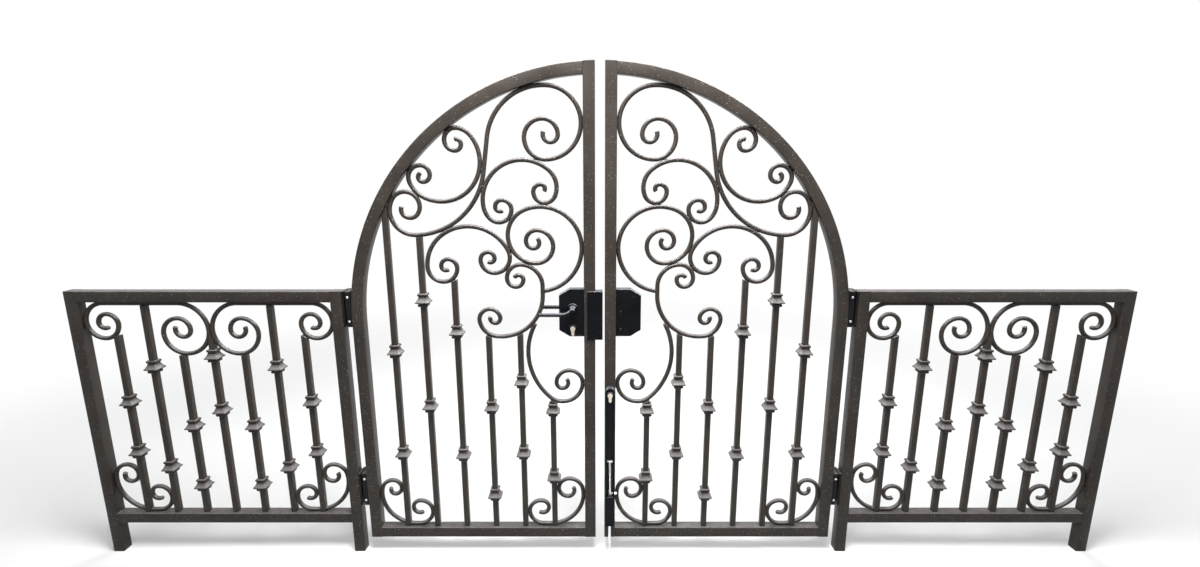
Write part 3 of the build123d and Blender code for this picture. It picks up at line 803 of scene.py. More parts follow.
class Workshop:
    """Makes objects from shells, gives them their finish and sets them on their bodies."""

    def __init__(self) -> None:
        """Builds the finishes."""
        effects = Effects()
        self.materials = {slot: finish.build(effects) for slot, finish in FINISHES.items()}

    def finish(self, name: str, mesh: bpy.types.Mesh, crease: Crease, body: str, slot: Slot,
               stands_for: Sequence[str]) -> bpy.types.Object:
        """Makes an object of a mesh, with its shading, its finish, its body and the nodes that it stands for.

        Args:
            name: The piece's name.
            mesh: Its mesh.
            crease: Which of its edges stay sharp.
            body: The body that it rides on.
            slot: Its finish.
            stands_for: CAD nodes that it replaces.

        Returns:
            The object.
        """
        mesh.shade_smooth()
        mesh.set_sharp_from_angle(angle=math.radians(crease.value))
        mesh.materials.clear()
        mesh.materials.append(self.materials[slot])
        thing = add_object(name, mesh)
        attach(thing, body)
        if stands_for:
            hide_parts(*stands_for)
        LOG.info("%s: %d faces on %s", name, len(mesh.polygons), body)
        return thing

    def make(self, name: str, shell: Shell, body: str, slot: Slot, stands_for: Sequence[str] = (),
             crease: Crease = Crease.PLAIN) -> None:
        """Makes a piece from a shell.

        Args:
            name: The piece's name.
            shell: Its surface, in millimetres.
            body: The body that it rides on.
            slot: Its finish.
            stands_for: CAD nodes that it replaces.
            crease: Which of its edges stay sharp.
        """
        mesh = bpy.data.meshes.new(name)
        mesh.from_pydata((shell.points * MM).tolist(), [], shell.quads.tolist() + shell.tris.tolist())
        mesh.validate()
        self.finish(name, mesh, crease, body, slot, stands_for)

    def soften(self, node: str, body: str, slot: Slot, bevel: float) -> None:
        """Makes a copy of a node with its points merged and its edges rounded, which stands for the node.

        Args:
            node: The CAD node.
            body: The body that it rides on.
            slot: Its finish.
            bevel: Width of the rounding in millimetres.
        """
        name, crease = f"{node}_soft", Crease.SOLID
        work = bmesh.new()
        work.from_mesh(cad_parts[node].data)
        bmesh.ops.remove_doubles(work, verts=work.verts, dist=1e-6)
        bmesh.ops.dissolve_limit(work, angle_limit=math.radians(1.0), verts=work.verts, edges=work.edges)
        mesh = bpy.data.meshes.new(name)
        work.to_mesh(mesh)
        work.free()
        rounding = self.finish(name, mesh, crease, body, slot, [node]).modifiers.new("rounding", "BEVEL")
        rounding.width = bevel * MM
        rounding.segments = 2
        rounding.limit_method = "ANGLE"
        rounding.angle_limit = math.radians(crease.value)
        rounding.use_clamp_overlap = True


# Sub-assemblies
@dataclass
class Scrollwork:
    """The bent bars of one leaf.

    Radii are at the bar's centre line, from the wide turns in to the eye. An over is the angle in degrees,
    seen from a ring's centre, at which the next ring takes over, and ends are the angles at which a bar ends.
    """

    crown_weld: float = 107.0
    crown_back: float = 185.0
    crown_turn: float = 114.0
    crown_eye: Radii = (68.0, 59.0, 49.0, 24.0)
    crown_sweep: float = 240.0
    crown_foot: float = 78.0
    crown_foot_eye: Radii = (48.0, 46.0, 31.0, 26.0)
    crown_over: float = -89.0
    crown_ends: Pair = (160.0, 160.0)
    rib_bow: float = 130.0
    rib_head: float = 65.0
    rib_head_turn: float = 38.0
    rib_head_eye: Radii = (33.0, 20.0, 16.0)
    rib_tail: float = 93.0
    rib_tail_turn: float = 40.0
    rib_tail_eye: Radii = (30.0, 23.0, 15.0)
    rib_lean: float = 127.5
    rib_ends: Pair = (100.0, 120.0)
    rib_weld: float = -12.0
    shoulder_bow: float = 131.0
    shoulder_head: float = 74.0
    shoulder_head_turn: float = 38.0
    shoulder_head_eye: Radii = (36.0, 24.0, 14.0)
    shoulder_tail: float = 70.0
    shoulder_tail_turn: float = 42.0
    shoulder_tail_eye: Radii = (31.0, 22.0, 15.0)
    shoulder_over: Triple = (50.0, -20.0, 188.0)
    shoulder_ends: Pair = (-30.0, 300.0)
    heart_tail: float = 148.0
    heart_bow: float = 136.0
    heart_turn: float = 92.5
    heart_eye: Radii = (57.0, 54.0, 36.0, 25.0, 19.0)
    heart_slant: float = 3.0
    heart_over: float = 111.0
    heart_end: float = 45.0
    heart_weld: float = 100.0
    side_bow: float = 146.0
    side_head: float = 53.0
    side_head_eye: Radii = (45.0, 26.0, 21.0, 14.0)
    side_tail: float = 131.0
    side_tail_eye: Radii = (52.0, 47.0, 30.0, 23.0, 15.0)
    side_over: float = 129.0
    side_ends: Pair = (240.0, 300.0)
    waist_hook: float = 73.0
    waist_hook_turn: float = 46.0
    waist_hook_eye: Radii = (30.0, 25.0, 15.5)
    waist_neck: float = 32.0
    waist_bow: float = 145.0
    waist_foot: float = 64.5
    waist_foot_eye: Radii = (37.0, 35.0, 17.5)
    waist_over: float = -96.0
    waist_ends: Pair = (150.0, 170.0)
    foot_bow: float = 219.0
    foot_turn: float = 69.0
    foot_level: float = 224.0
    foot_lap: float = 7.0
    foot_taper: float = 20.0
    foot_eye: Radii = (46.0, 45.0, 21.0, 20.0)
    foot_end: float = 40.0
    foot_weld: float = 12.0
    bead: Triple = (7.0, 3.2, 6.0)
    bead_wave: float = 0.06
    tracks: dict[str, Track] = field(default_factory=dict)
    welds: list[Triple] = field(default_factory=list)
    carried: list[Ring] = field(default_factory=list)

    def weld(self, ring: Ring, angle: float) -> None:
        """Marks a weld where a ring touches something at an angle."""
        self.welds.append((*polar(ring, angle, ring.radius + GATE.touch), math.radians(angle + 90)))

    def layout(self) -> None:
        """Works out every bar from the arch, the stile and the bars that it touches."""
        arch = Ring(0.0, GATE.spring, GATE.inner - GATE.touch)
        face, pair = -GATE.stile_face - GATE.touch, GATE.pair

        x = face - self.crown_turn
        shoulder = nest(arch, self.crown_weld, self.crown_back)
        rise = math.sqrt((self.crown_back - self.crown_turn) ** 2 - (x - shoulder.x) ** 2)
        head = Ring(x, shoulder.z + rise, self.crown_turn)
        x = GATE.picket_places[-1] + GATE.picket / 2 + GATE.touch + self.crown_foot
        toe = Ring(x, arch.z + math.sqrt((arch.radius - self.crown_foot) ** 2 - x**2), self.crown_foot)
        toe_coil = coil(toe, bearing(arch, toe), -1, self.crown_foot_eye)
        sweep = nest(toe, self.crown_over, self.crown_sweep)
        head_arm = [shoulder, head] + coil(head, -90, -1, self.crown_eye)
        row = both_ways(head_arm, -1, [sweep, toe] + toe_coil, -1)
        self.tracks["crown_scroll"] = follow(row, *self.crown_ends)

        rib = Ring(*polar(sweep, 0, self.crown_sweep - pair - self.rib_bow), self.rib_bow)
        top = nest(arch, self.rib_lean, self.rib_head_turn)
        neck = fit(self.rib_head, rib, top, (False, False))
        heel = fit(self.rib_tail, toe_coil[1], rib, (True, False))
        low = fit(self.rib_tail_turn, heel, arch, (False, False))
        self.tracks["rib_scroll"] = follow(both_ways(
            [neck, top] + coil(top, 180, 1, self.rib_head_eye), 1,
            [rib, heel, low] + coil(low, 90, -1, self.rib_tail_eye), -1), *self.rib_ends)

        back = fit(self.shoulder_bow, sweep, head, (True, True))
        cap = nest(back, self.shoulder_over[0], self.shoulder_head)
        ball = nest(cap, self.shoulder_over[1], self.shoulder_head_turn)
        x = face - self.heart_bow
        reach = self.heart_bow + pair + self.shoulder_head_turn
        heart = Ring(x, ball.z - math.sqrt(reach**2 - (x - ball.x) ** 2), self.heart_bow)
        lobe = nest(heart, self.heart_over, self.heart_turn)
        trail = nest(heart, 0, self.heart_tail)
        flank = nest(back, self.shoulder_over[2], self.shoulder_tail)
        sole = fit(self.shoulder_tail_turn, flank, lobe, (False, True))
        self.tracks["shoulder_scroll"] = follow(both_ways(
            [cap, ball] + coil(ball, -90, -1, self.shoulder_head_eye), -1,
            [back, flank, sole] + coil(sole, 0, 1, self.shoulder_tail_eye), 1), *self.shoulder_ends)

        bow = fit(self.side_bow, sweep, lobe, (True, True))
        knob = nest(bow, bearing(bow, lobe), self.side_head)
        hip = nest(bow, self.side_over, self.side_tail)
        hip_coil = coil(hip, 180, 1, self.side_tail_eye)
        row = both_ways([knob] + coil(knob, -90, -1, self.side_head_eye), -1, [bow, hip] + hip_coil, 1)
        self.tracks["side_scroll"] = follow(row, *self.side_ends)

        partner = (knob.x, knob.z - self.waist_hook + self.waist_hook_turn)
        near = self.waist_hook_turn + pair + self.side_head
        hook = Ring(*meet(partner, near, lobe, self.heart_turn + pair + self.waist_hook), self.waist_hook)
        curl = nest(hook, 90, self.waist_hook_turn)
        waist = Ring(hook.x + self.waist_hook - self.waist_bow, hook.z - self.waist_neck, self.waist_bow)
        paw = nest(waist, self.waist_over, self.waist_foot)
        self.tracks["waist_scroll"] = follow(both_ways(
            [hook, curl] + coil(curl, 180, 1, self.waist_hook_eye), 1,
            [waist, paw] + coil(paw, 190, -1, self.waist_foot_eye), -1), *self.waist_ends)

        tip = meet(hook, self.waist_hook + GATE.touch + self.heart_slant, trail, self.heart_tail)
        row = [(ring, 1) for ring in [trail, heart, lobe] + coil(lobe, -90, 1, self.heart_eye)]
        self.tracks["heart_scroll"] = follow(row, bearing(trail, tip), self.heart_end)

        foot = Ring(face - self.foot_turn, GATE.spring - self.foot_level, self.foot_turn)
        reach = self.waist_bow + self.foot_lap + self.foot_bow
        long = Ring(*meet(foot, self.foot_bow - self.foot_turn, waist, reach), self.foot_bow)
        row = [(ring, 1) for ring in [long, foot] + coil(foot, 0, 1, self.foot_eye)]
        start = bearing(long, waist) + math.degrees(self.foot_taper / self.foot_bow)
        self.tracks["foot_scroll"] = follow(row, start, self.foot_end)

        self.carried = [foot, waist, paw, hip_coil[1], sweep]
        for ring in (shoulder, toe, top, low):
            self.weld(ring, bearing(arch, ring))
        for ring, other in ((heel, toe_coil[1]), (back, sweep), (back, head), (heart, ball), (lobe, sole),
                            (bow, sweep), (bow, lobe), (hook, lobe), (curl, knob)):
            self.weld(ring, bearing(ring, other))
        self.weld(waist, bearing(waist, long) - self.foot_weld)
        for ring in (head, heart, foot):
            self.weld(ring, 0)
        self.welds.append((*tip, math.radians(self.heart_weld)))
        self.weld(rib, self.rib_weld)

    def taper(self, shell: Shell) -> Shell:
        """Lays the foot bar's end along the waist bar.

        A point nearer to the waist ring's centre than the bar's outer side is pushed out to that distance,
        along the line from the centre.

        Args:
            shell: The foot bar.

        Returns:
            The bar with its end thinned.
        """
        waist = self.carried[1]
        centre = np.array([waist.x, waist.z])
        away = shell.points[:, [0, 2]] - centre
        far = np.linalg.norm(away, axis=1, keepdims=True)
        points = shell.points.copy()
        points[:, [0, 2]] = centre + away * np.maximum(1.0, (waist.radius + GATE.round_bar / 2) / far)
        return Shell(points, shell.quads, shell.tris)

    def beads(self) -> Shell:
        """The weld beads: a low ball at each contact, stretched along the joint.

        Each is the ball (cos b cos a, cos b sin a, sin b) times the bead's half lengths along the joint,
        across it and through the depth, turned to its heading. Along and across it is waved, as one plus the
        wave times sin(3 a + 5 x), so that no two beads are the same.

        Returns:
            One shell of all beads.
        """
        x, z, heading = np.array(self.welds).T[..., None, None]
        a, b = around(12), np.radians(np.linspace(-80, 80, 7))[:, None]
        wave = 1 + self.bead_wave * np.sin(3 * a + 5 * x)
        along = self.bead[0] * np.cos(b) * np.cos(a) * wave
        across = self.bead[1] * np.cos(b) * np.sin(a) * wave
        deep = np.broadcast_to(self.bead[2] * np.sin(b), along.shape)
        c, s = np.cos(heading), np.sin(heading)
        balls = np.stack([x + along * c - across * s, deep, z + along * s + across * c], -1)
        return join_shells([grid_shell(ball) for ball in balls])

    def build(self, shop: Workshop, side: Side) -> None:
        """Makes the leaf's bars and their weld beads.

        Args:
            shop: The workshop.
            side: The leaf.
        """
        word, body = side.word, f"{side.word}_leaf"
        for name, track in self.tracks.items():
            shell = bar_shell(track)
            if name == "foot_scroll":
                shell = self.taper(shell)
            node = f"{word}_{name}"
            shop.make(f"{node}_bar", on_leaf(shell, side), body, Slot.BRONZE, [node], Crease.BAR)
        shop.make(f"{word}_weld_beads", on_leaf(self.beads(), side), body, Slot.BRONZE, crease=Crease.BEAD)


@dataclass
class CornerScroll:
    """The scroll in a lower corner, notched for the first picket."""

    bow: float = 118.0
    lean: float = 168.0
    head_steps: Radii = (10.0, 16.0, 25.0)
    tail: float = 50.0
    tail_over: float = 10.0
    tail_eye: Radii = (41.0, 26.0, 22.0)
    ends: Pair = (150.0, 300.0)
    notch: float = 50.0

    def bars(self, first: float, second: float) -> list[Shell]:
        """The two lengths of the bar, before and after the first picket.

        Args:
            first: Distance of the first picket's middle from the frame's face.
            second: That of the second picket.

        Returns:
            Their shells, with X from the frame's face and Z from the rail's top.
        """
        side = GATE.picket / 2 + GATE.touch
        ring = Ring(GATE.touch + self.bow, GATE.touch + self.bow, self.bow)
        lean = math.cos(math.radians(self.lean))
        head = (first - side + self.head_steps[0] - ring.x - self.bow * lean) / (1 - lean)
        ball = nest(ring, self.lean, head)
        tail = Ring(second - side - self.tail, GATE.touch + self.tail, self.tail)
        track = follow(both_ways(
            [ring, ball] + coil(ball, 90, -1, [head - step for step in self.head_steps]), -1,
            [tail] + coil(tail, self.tail_over, 1, self.tail_eye), 1), *self.ends, step=3.0)
        x, z = track.points.T
        place, half = np.arange(len(x)), GATE.picket / 2 + GATE.seat
        low = z < self.notch
        before = ~(low & (x > first - half)) & (place < np.argmin(z))
        after = place >= np.flatnonzero(low & (x > first + half))[0]
        return [bar_shell(Track(track.points[keep], track.heading[keep])) for keep in (before, after)]


@dataclass
class Collar:
    """A cast collar round a picket, square in plan with rounded corners; levels are (height, half width)."""

    corner: float = 0.16
    levels: tuple[Pair, ...] = (
        (0.0, 14.6), (1.2, 16.0), (4.5, 16.5), (7.8, 16.0), (9.0, 14.6), (9.4, 13.4), (12.0, 13.4),
        (12.4, 22.6), (13.2, 23.8), (15.6, 24.0), (16.6, 23.2), (20.0, 20.2), (25.0, 17.0), (30.0, 14.6),
        (33.0, 13.6), (36.0, 13.4), (36.4, 14.8), (37.4, 16.0), (40.5, 16.5), (43.8, 16.0), (45.0, 14.6),
    )

    def shell(self, x: float, z: float) -> Shell:
        """One collar: each level (h, w) gives a rounded square of half width w at height h.

        Args:
            x: Its middle.
            z: Height of its middle.

        Returns:
            The shell.
        """
        levels = np.array(self.levels)
        row = square_section(1.0, self.corner) * levels[:, 1, None, None]
        height = np.broadcast_to(levels[:, 0, None], row.shape[:2]) - levels[-1, 0] / 2
        return grid_shell(np.stack([row[..., 0], row[..., 1], height], -1)).placed(1, x, z)


@dataclass
class Leaf:
    """One leaf: frame, scrolls, pickets and collars.

    Collar levels go from the meeting stile outwards; screw is the radius and height of a screw's head.
    """

    shop: Workshop
    side: Side
    collar_levels: tuple[Pair, ...] = (
        (458.0, 199.0), (563.0, 293.0), (468.0, 129.0), (744.0, 287.0), (855.0, 473.0), (674.0, 292.0))
    screw: Pair = (4.4, 2.8)
    arch_steps: int = 48
    scrolls: Scrollwork = field(default_factory=Scrollwork)
    corner: CornerScroll = field(default_factory=CornerScroll)
    collar: Collar = field(default_factory=Collar)

    def add(self, name: str, shells: Sequence[Shell], crease: Crease = Crease.PLAIN) -> None:
        """Makes a piece of the leaf that stands for the node of the same name.

        Args:
            name: The node's name without its side.
            shells: Its shells, drawn on the left leaf.
            crease: Which of its edges stay sharp.
        """
        word = self.side.word
        node, shell = f"{word}_{name}", on_leaf(join_shells(shells), self.side)
        self.shop.make(f"{node}_piece", shell, f"{word}_leaf", Slot.BRONZE, [node], crease)

    def build_frame(self) -> None:
        """Makes the stiles, the bottom rail and the arch.

        The arch's ring at t has each of its points at the angle that runs from 180 degrees, at t = 0, to
        where the point's own radius meets the meeting stile's face, at t = 1. The meeting stile's last ring
        lies on the arch's outer circle.
        """
        low, spring, tube = -GATE.tube, GATE.spring, GATE.tube_section
        middle = (GATE.outer + GATE.inner) / 2
        self.add("outer_stile", [beam((-middle, low), (-middle, spring), tube)])
        self.add("bottom_rail", [beam((-GATE.inner, low / 2), (-GATE.stile_face, low / 2), tube)])
        x = -(GATE.gap + GATE.tube) / 2
        stile = beam((x, low), (x, spring), tube)
        top = stile.points[:, 2] > spring / 2
        stile.points[top, 2] = spring + np.sqrt(GATE.outer**2 - stile.points[top, 0] ** 2)
        self.add("meeting_stile", [stile])
        radius = middle + tube[:, 0]
        last = np.degrees(np.arccos(-GATE.stile_face / radius))
        t = np.linspace(0.0, 1.0, self.arch_steps + 1)[:, None]
        row = radius[:, None] * unit(np.radians(180.0 + t * (last - 180.0)))
        y = np.broadcast_to(tube[:, 1], row.shape[:2])
        self.add("arch_rail", [grid_shell(np.stack([row[..., 0], y, spring + row[..., 1]], -1))])

    def build_pickets(self) -> None:
        """Makes the pickets and their collars.

        Each picket is cut to the bar that it carries, and the last one to the arch, as spring plus the square
        root of the arch's inner radius squared less x squared.
        """
        shells, collars = [], []
        rings: list[Optional[Ring]] = [*self.scrolls.carried, None]
        for x, ring, levels in zip(GATE.picket_places, rings, self.collar_levels):
            shell = picket_shell(x, GATE.spring, ring)
            if ring is None:
                top = shell.points[:, 2] > GATE.spring / 2
                reach = np.sqrt((GATE.inner - GATE.seat) ** 2 - shell.points[top, 0] ** 2)
                shell.points[top, 2] = GATE.spring + reach
            shells.append(shell)
            collars += [self.collar.shell(x, level) for level in levels]
        self.add("pickets", shells)
        self.add("collars", collars, Crease.CAST)

    def build_corners(self) -> None:
        """Makes the two corner scrolls."""
        places, shells = GATE.picket_places, []
        for face, way, row in ((-GATE.inner, 1, places[::-1]), (-GATE.stile_face, -1, places)):
            bars = self.corner.bars(abs(row[0] - face), abs(row[1] - face))
            shells += [shell.placed(way, face, 0.0) for shell in bars]
        self.add("corner_scrolls", shells, Crease.BAR)

    def build(self) -> None:
        """Makes the whole leaf."""
        self.scrolls.layout()
        self.build_frame()
        self.scrolls.build(self.shop, self.side)
        self.build_pickets()
        self.build_corners()
        word, body = self.side.word, f"{self.side.word}_leaf"
        self.shop.soften(f"{word}_hinge_leaves", body, Slot.HINGE, 1.0)
        x, y = -GATE.outer - GATE.screw_inset, GATE.hinge_set_back - GATE.tube / 2
        screws = join_shells([screw_shell((x, y, level + way * GATE.screw_spread), *self.screw)
                              for level in GATE.hinge_middles for way in (-1, 1)])
        screws = on_leaf(screws, self.side)
        self.shop.make(f"{word}_hinge_screws", screws, body, Slot.BRIGHT, crease=Crease.CAST)


@dataclass
class Bay:
    """A fence bay, its posts and the hinge post's brackets; collar levels go from the post inwards."""

    shop: Workshop
    side: Side
    head: float = 66.0
    head_eye: Radii = (58.0, 50.0, 36.0, 30.0, 20.0)
    tail: float = 95.0
    tail_eye: Radii = (84.0, 72.0, 54.0, 40.0, 26.0)
    ends: Pair = (300.0, 160.0)
    pickets: int = 7
    levels: tuple[Pair, ...] = ((430.0, 240.0), (560.0, 180.0), (340.0, 110.0), (600.0, 400.0))
    corner: CornerScroll = field(default_factory=CornerScroll)
    collar: Collar = field(default_factory=Collar)

    def half_row(self) -> tuple[Track, list[Optional[Ring]]]:
        """The bent bar of half a bay.

        Returns:
            Its path from the hinge post's face, and the ring over each picket up to the middle one.
        """
        high = GATE.bay_clear - GATE.touch
        ball = Ring(GATE.touch + self.head, high - self.head, self.head)
        ball_coil = coil(ball, 180, 1, self.head_eye)
        bulb = Ring((GATE.bay - GATE.pair) / 2 - self.tail, high - self.tail, self.tail)
        bulb_coil = coil(bulb, 0, -1, self.tail_eye)
        track = follow(both_ways([ball] + ball_coil, 1, [bulb] + bulb_coil, -1), *self.ends)
        return track, [ball_coil[1], None, bulb_coil[1], bulb_coil[0]]

    def build(self) -> None:
        """Makes the bay."""
        word, out, tube = self.side.word, -self.side.value, GATE.tube_section
        clear, base, half = GATE.bay_clear, GATE.bay_rail + GATE.tube, GATE.tube / 2
        post_x = GATE.middle + out * GATE.middle
        near = post_x + out * half
        far = near + out * GATE.bay
        for name, x in (("hinge_post", post_x), ("end_post", far + out * half)):
            post = beam((x, 0.0), (x, GATE.post), tube)
            self.shop.make(f"{word}_{name}_piece", post, "fence", Slot.BRONZE, [f"{word}_{name}"])
        straight = [beam((0.0, z), (GATE.bay, z), tube).placed(out, near, base)
                    for z in (-half, clear + half)]
        track, rings = self.half_row()
        pitch = GATE.bay / (self.pickets + 1)
        ends = ((out, near), (-out, far))
        bars = [shell.placed(way, start, base) for way, start in ends
                for shell in (bar_shell(track), *self.corner.bars(pitch, 2 * pitch))]
        collars = []
        for place in range(self.pickets):
            turn = min(place, self.pickets - 1 - place)
            way, start = ends[0] if place == turn else ends[1]
            x, middle = pitch * (turn + 1), place == self.pickets // 2
            shell = picket_shell(x, clear - GATE.bar - 2 * GATE.seat, rings[turn], middle)
            straight.append(shell.placed(way, start, base))
            collars += [self.collar.shell(x, level).placed(way, start, base) for level in self.levels[turn]]
        panel = [f"{word}_fence_panel"]
        for name, shells, crease in (("frame", straight, Crease.PLAIN), ("bars", bars, Crease.BAR),
                                     ("collars", collars, Crease.CAST)):
            self.shop.make(f"{word}_bay_{name}", join_shells(shells), "fence", Slot.BRONZE, panel, crease)
        self.shop.soften(f"{word}_hinge_brackets", "fence", Slot.HINGE, 1.0)


@dataclass
class LockSet:
    """The lock, its cover over the latch, the keep and the two lever handles.

    The spindle is square, with half its width and its corners' radius; hub and rose are profiles of (distance
    from the lock's face, radius); keep_screw is the radius and height of a screw's head.
    """

    shop: Workshop
    height: float = 910.0
    tall: float = 164.0
    deep: float = 30.0
    spindle_x: float = -92.0
    spindle_z: float = 828.0
    spindle: Pair = (4.0, 0.4)
    spindle_past: float = 0.6
    hub: tuple[Pair, ...] = ((0.6, 9.5), (1.2, 11.0), (9.0, 11.0), (14.0, 9.0), (30.0, 8.4), (40.0, 8.8),
                             (44.5, 8.0), (45.8, 6.0))
    rose: tuple[Pair, ...] = ((0.0, 12.6), (0.0, 17.0), (2.4, 17.0), (3.6, 16.2), (4.0, 15.0), (4.0, 12.6))
    lever_stand: float = 38.0
    lever_length: float = 110.0
    lever_fall: float = 13.0
    lever_neck: float = 24.0
    lever_bend: float = 26.0
    lever_radius: float = 7.5
    twist: float = 3.7
    lobes: int = 3
    lobe_depth: float = 0.14
    taper: Pair = (4.0, 0.4)
    hub_sides: int = 32
    rose_sides: int = 40
    key_drop: float = 71.0
    keep_inset: float = 16.0
    keep_drops: Pair = (78.0, 139.0)
    keep_screw: Pair = (3.4, 1.6)

    def rope(self, way: int) -> Shell:
        """The twisted grip of one lever.

        The path leaves the spindle, falls, bends level and runs out to the tip. The section's radius at angle
        a and distance s along the grip is the bar's radius times 1 - d + d * cos(n * (a - s / twist)), with n
        lobes of depth d, and it shrinks over the taper's length to its share of that, as a square root.

        Args:
            way: -1 for the front lever, 1 for the back one.

        Returns:
            The shell, drawn on the left leaf.
        """
        hub = np.array([self.spindle_x, self.spindle_z])
        slope = math.atan2(-self.lever_fall, -self.lever_neck)
        back = self.lever_bend * math.tan(abs(math.pi - slope % (2 * math.pi)) / 2)
        knee = hub - np.array([self.lever_neck, self.lever_fall])
        start, end = knee - unit(slope) * back, knee - np.array([back, 0.0])
        tip = hub - np.array([self.lever_length, self.lever_fall])
        t = np.linspace(0.0, 1.0, 7)[1:-1, None]
        bend = (1 - t) ** 2 * start + 2 * t * (1 - t) * knee + t**2 * end
        points = np.concatenate([np.linspace(hub, start, 5), bend, np.linspace(end, tip, 84)])
        step = np.gradient(points, axis=0)
        along = np.concatenate([[0], np.cumsum(np.linalg.norm(np.diff(points, axis=0), axis=1))])[:, None]
        a, (length, share) = around(24), self.taper
        lobe = self.lobe_depth * np.cos(self.lobes * (a - along / self.twist))
        radius = self.lever_radius * (1 - self.lobe_depth + lobe)
        radius *= np.sqrt(np.clip((along[-1] - along) / length, 0.0, 1.0)) * (1 - share) + share
        depth = way * (self.deep / 2 + self.lever_stand)
        return carry(Track(points, np.arctan2(step[:, 1], step[:, 0])), radius[..., None] * unit(a), depth)

    def build(self) -> None:
        """Makes the lock and its handles."""
        shop = self.shop
        for node, body, slot, bevel in (
            ("lock_case", "left_leaf", Slot.GLOSS, 1.6), ("latch_cover", "left_leaf", Slot.GLOSS, 1.2),
            ("lock_keep", "right_leaf", Slot.GLOSS, 1.6), ("lock_cylinder", "left_leaf", Slot.KEYED, 0.8),
        ):
            shop.soften(node, body, slot, bevel)
        x, z, face = self.spindle_x, self.spindle_z, self.deep / 2
        for name, way in (("front", -1), ("back", 1)):
            place, turn = (x, way * face, z), np.array([way, 1.0])
            shells = [self.rope(way), grid_shell(turned(np.array(self.hub) * turn, place, self.hub_sides))]
            if name == "front":
                square = square_section(*self.spindle, 2) + np.array([x, z])
                past = face + self.spindle_past
                shells.append(grid_shell(np.stack([np.insert(square, 1, y, axis=1) for y in (-past, past)])))
            lever = on_leaf(join_shells(shells), Side.LEFT)
            shop.make(f"{name}_lever_rope", lever, "lever", Slot.GLOSS, [f"{name}_lever"], Crease.GRIP)
            rose = grid_shell(turned(np.array(self.rose) * turn, place, self.rose_sides), ring=True)
            rim = key_rim(x, z - self.key_drop, way * face, way)
            for piece, shell, crease in (("rose", rose, Crease.ROSE), ("key_rim", rim, Crease.CAST)):
                shell = on_leaf(shell, Side.LEFT)
                shop.make(f"{name}_{piece}", shell, "left_leaf", Slot.GLOSS, crease=crease)
        high, x = self.height + self.tall / 2 - GATE.rail_top, -GATE.stile_face - self.keep_inset
        screws = join_shells([screw_shell((x, -face, high - drop), *self.keep_screw)
                              for drop in self.keep_drops])
        for way, word in ((-1, "front"), (1, "back")):
            shell = Shell(screws.points * np.array([1.0, -way, 1.0]), screws.quads, screws.tris)
            shell = on_leaf(shell, Side.RIGHT)
            shop.make(f"keep_{word}_screws", shell, "right_leaf", Slot.HINGE, crease=Crease.CAST)


@dataclass
class DropBolt:
    """The drop bolt on the right leaf."""

    shop: Workshop
    key_height: float = 623.5
    deep: float = 24.0

    def build(self) -> None:
        """Makes the bolt's pieces."""
        x, z = -GATE.stile_face + GATE.tube / 2, self.key_height - GATE.rail_top
        rim = on_leaf(key_rim(x, z, -GATE.tube / 2 - self.deep, -1), Side.RIGHT)
        self.shop.make("bolt_key_rim", rim, "right_leaf", Slot.GLOSS, crease=Crease.CAST)
        self.shop.soften("bolt_housing", "right_leaf", Slot.GLOSS, 1.2)
        self.shop.soften("bolt_key", "right_leaf", Slot.KEYED, 0.6)
        self.shop.soften("bolt_rod", "drop_bolt", Slot.BRIGHT, 0.5)


class Lamp(NamedTuple):
    """A square lamp, in metres from the gate's middle: place, the height that it faces, size and power."""

    name: str
    place: Triple
    aim: float
    size: float
    power: float


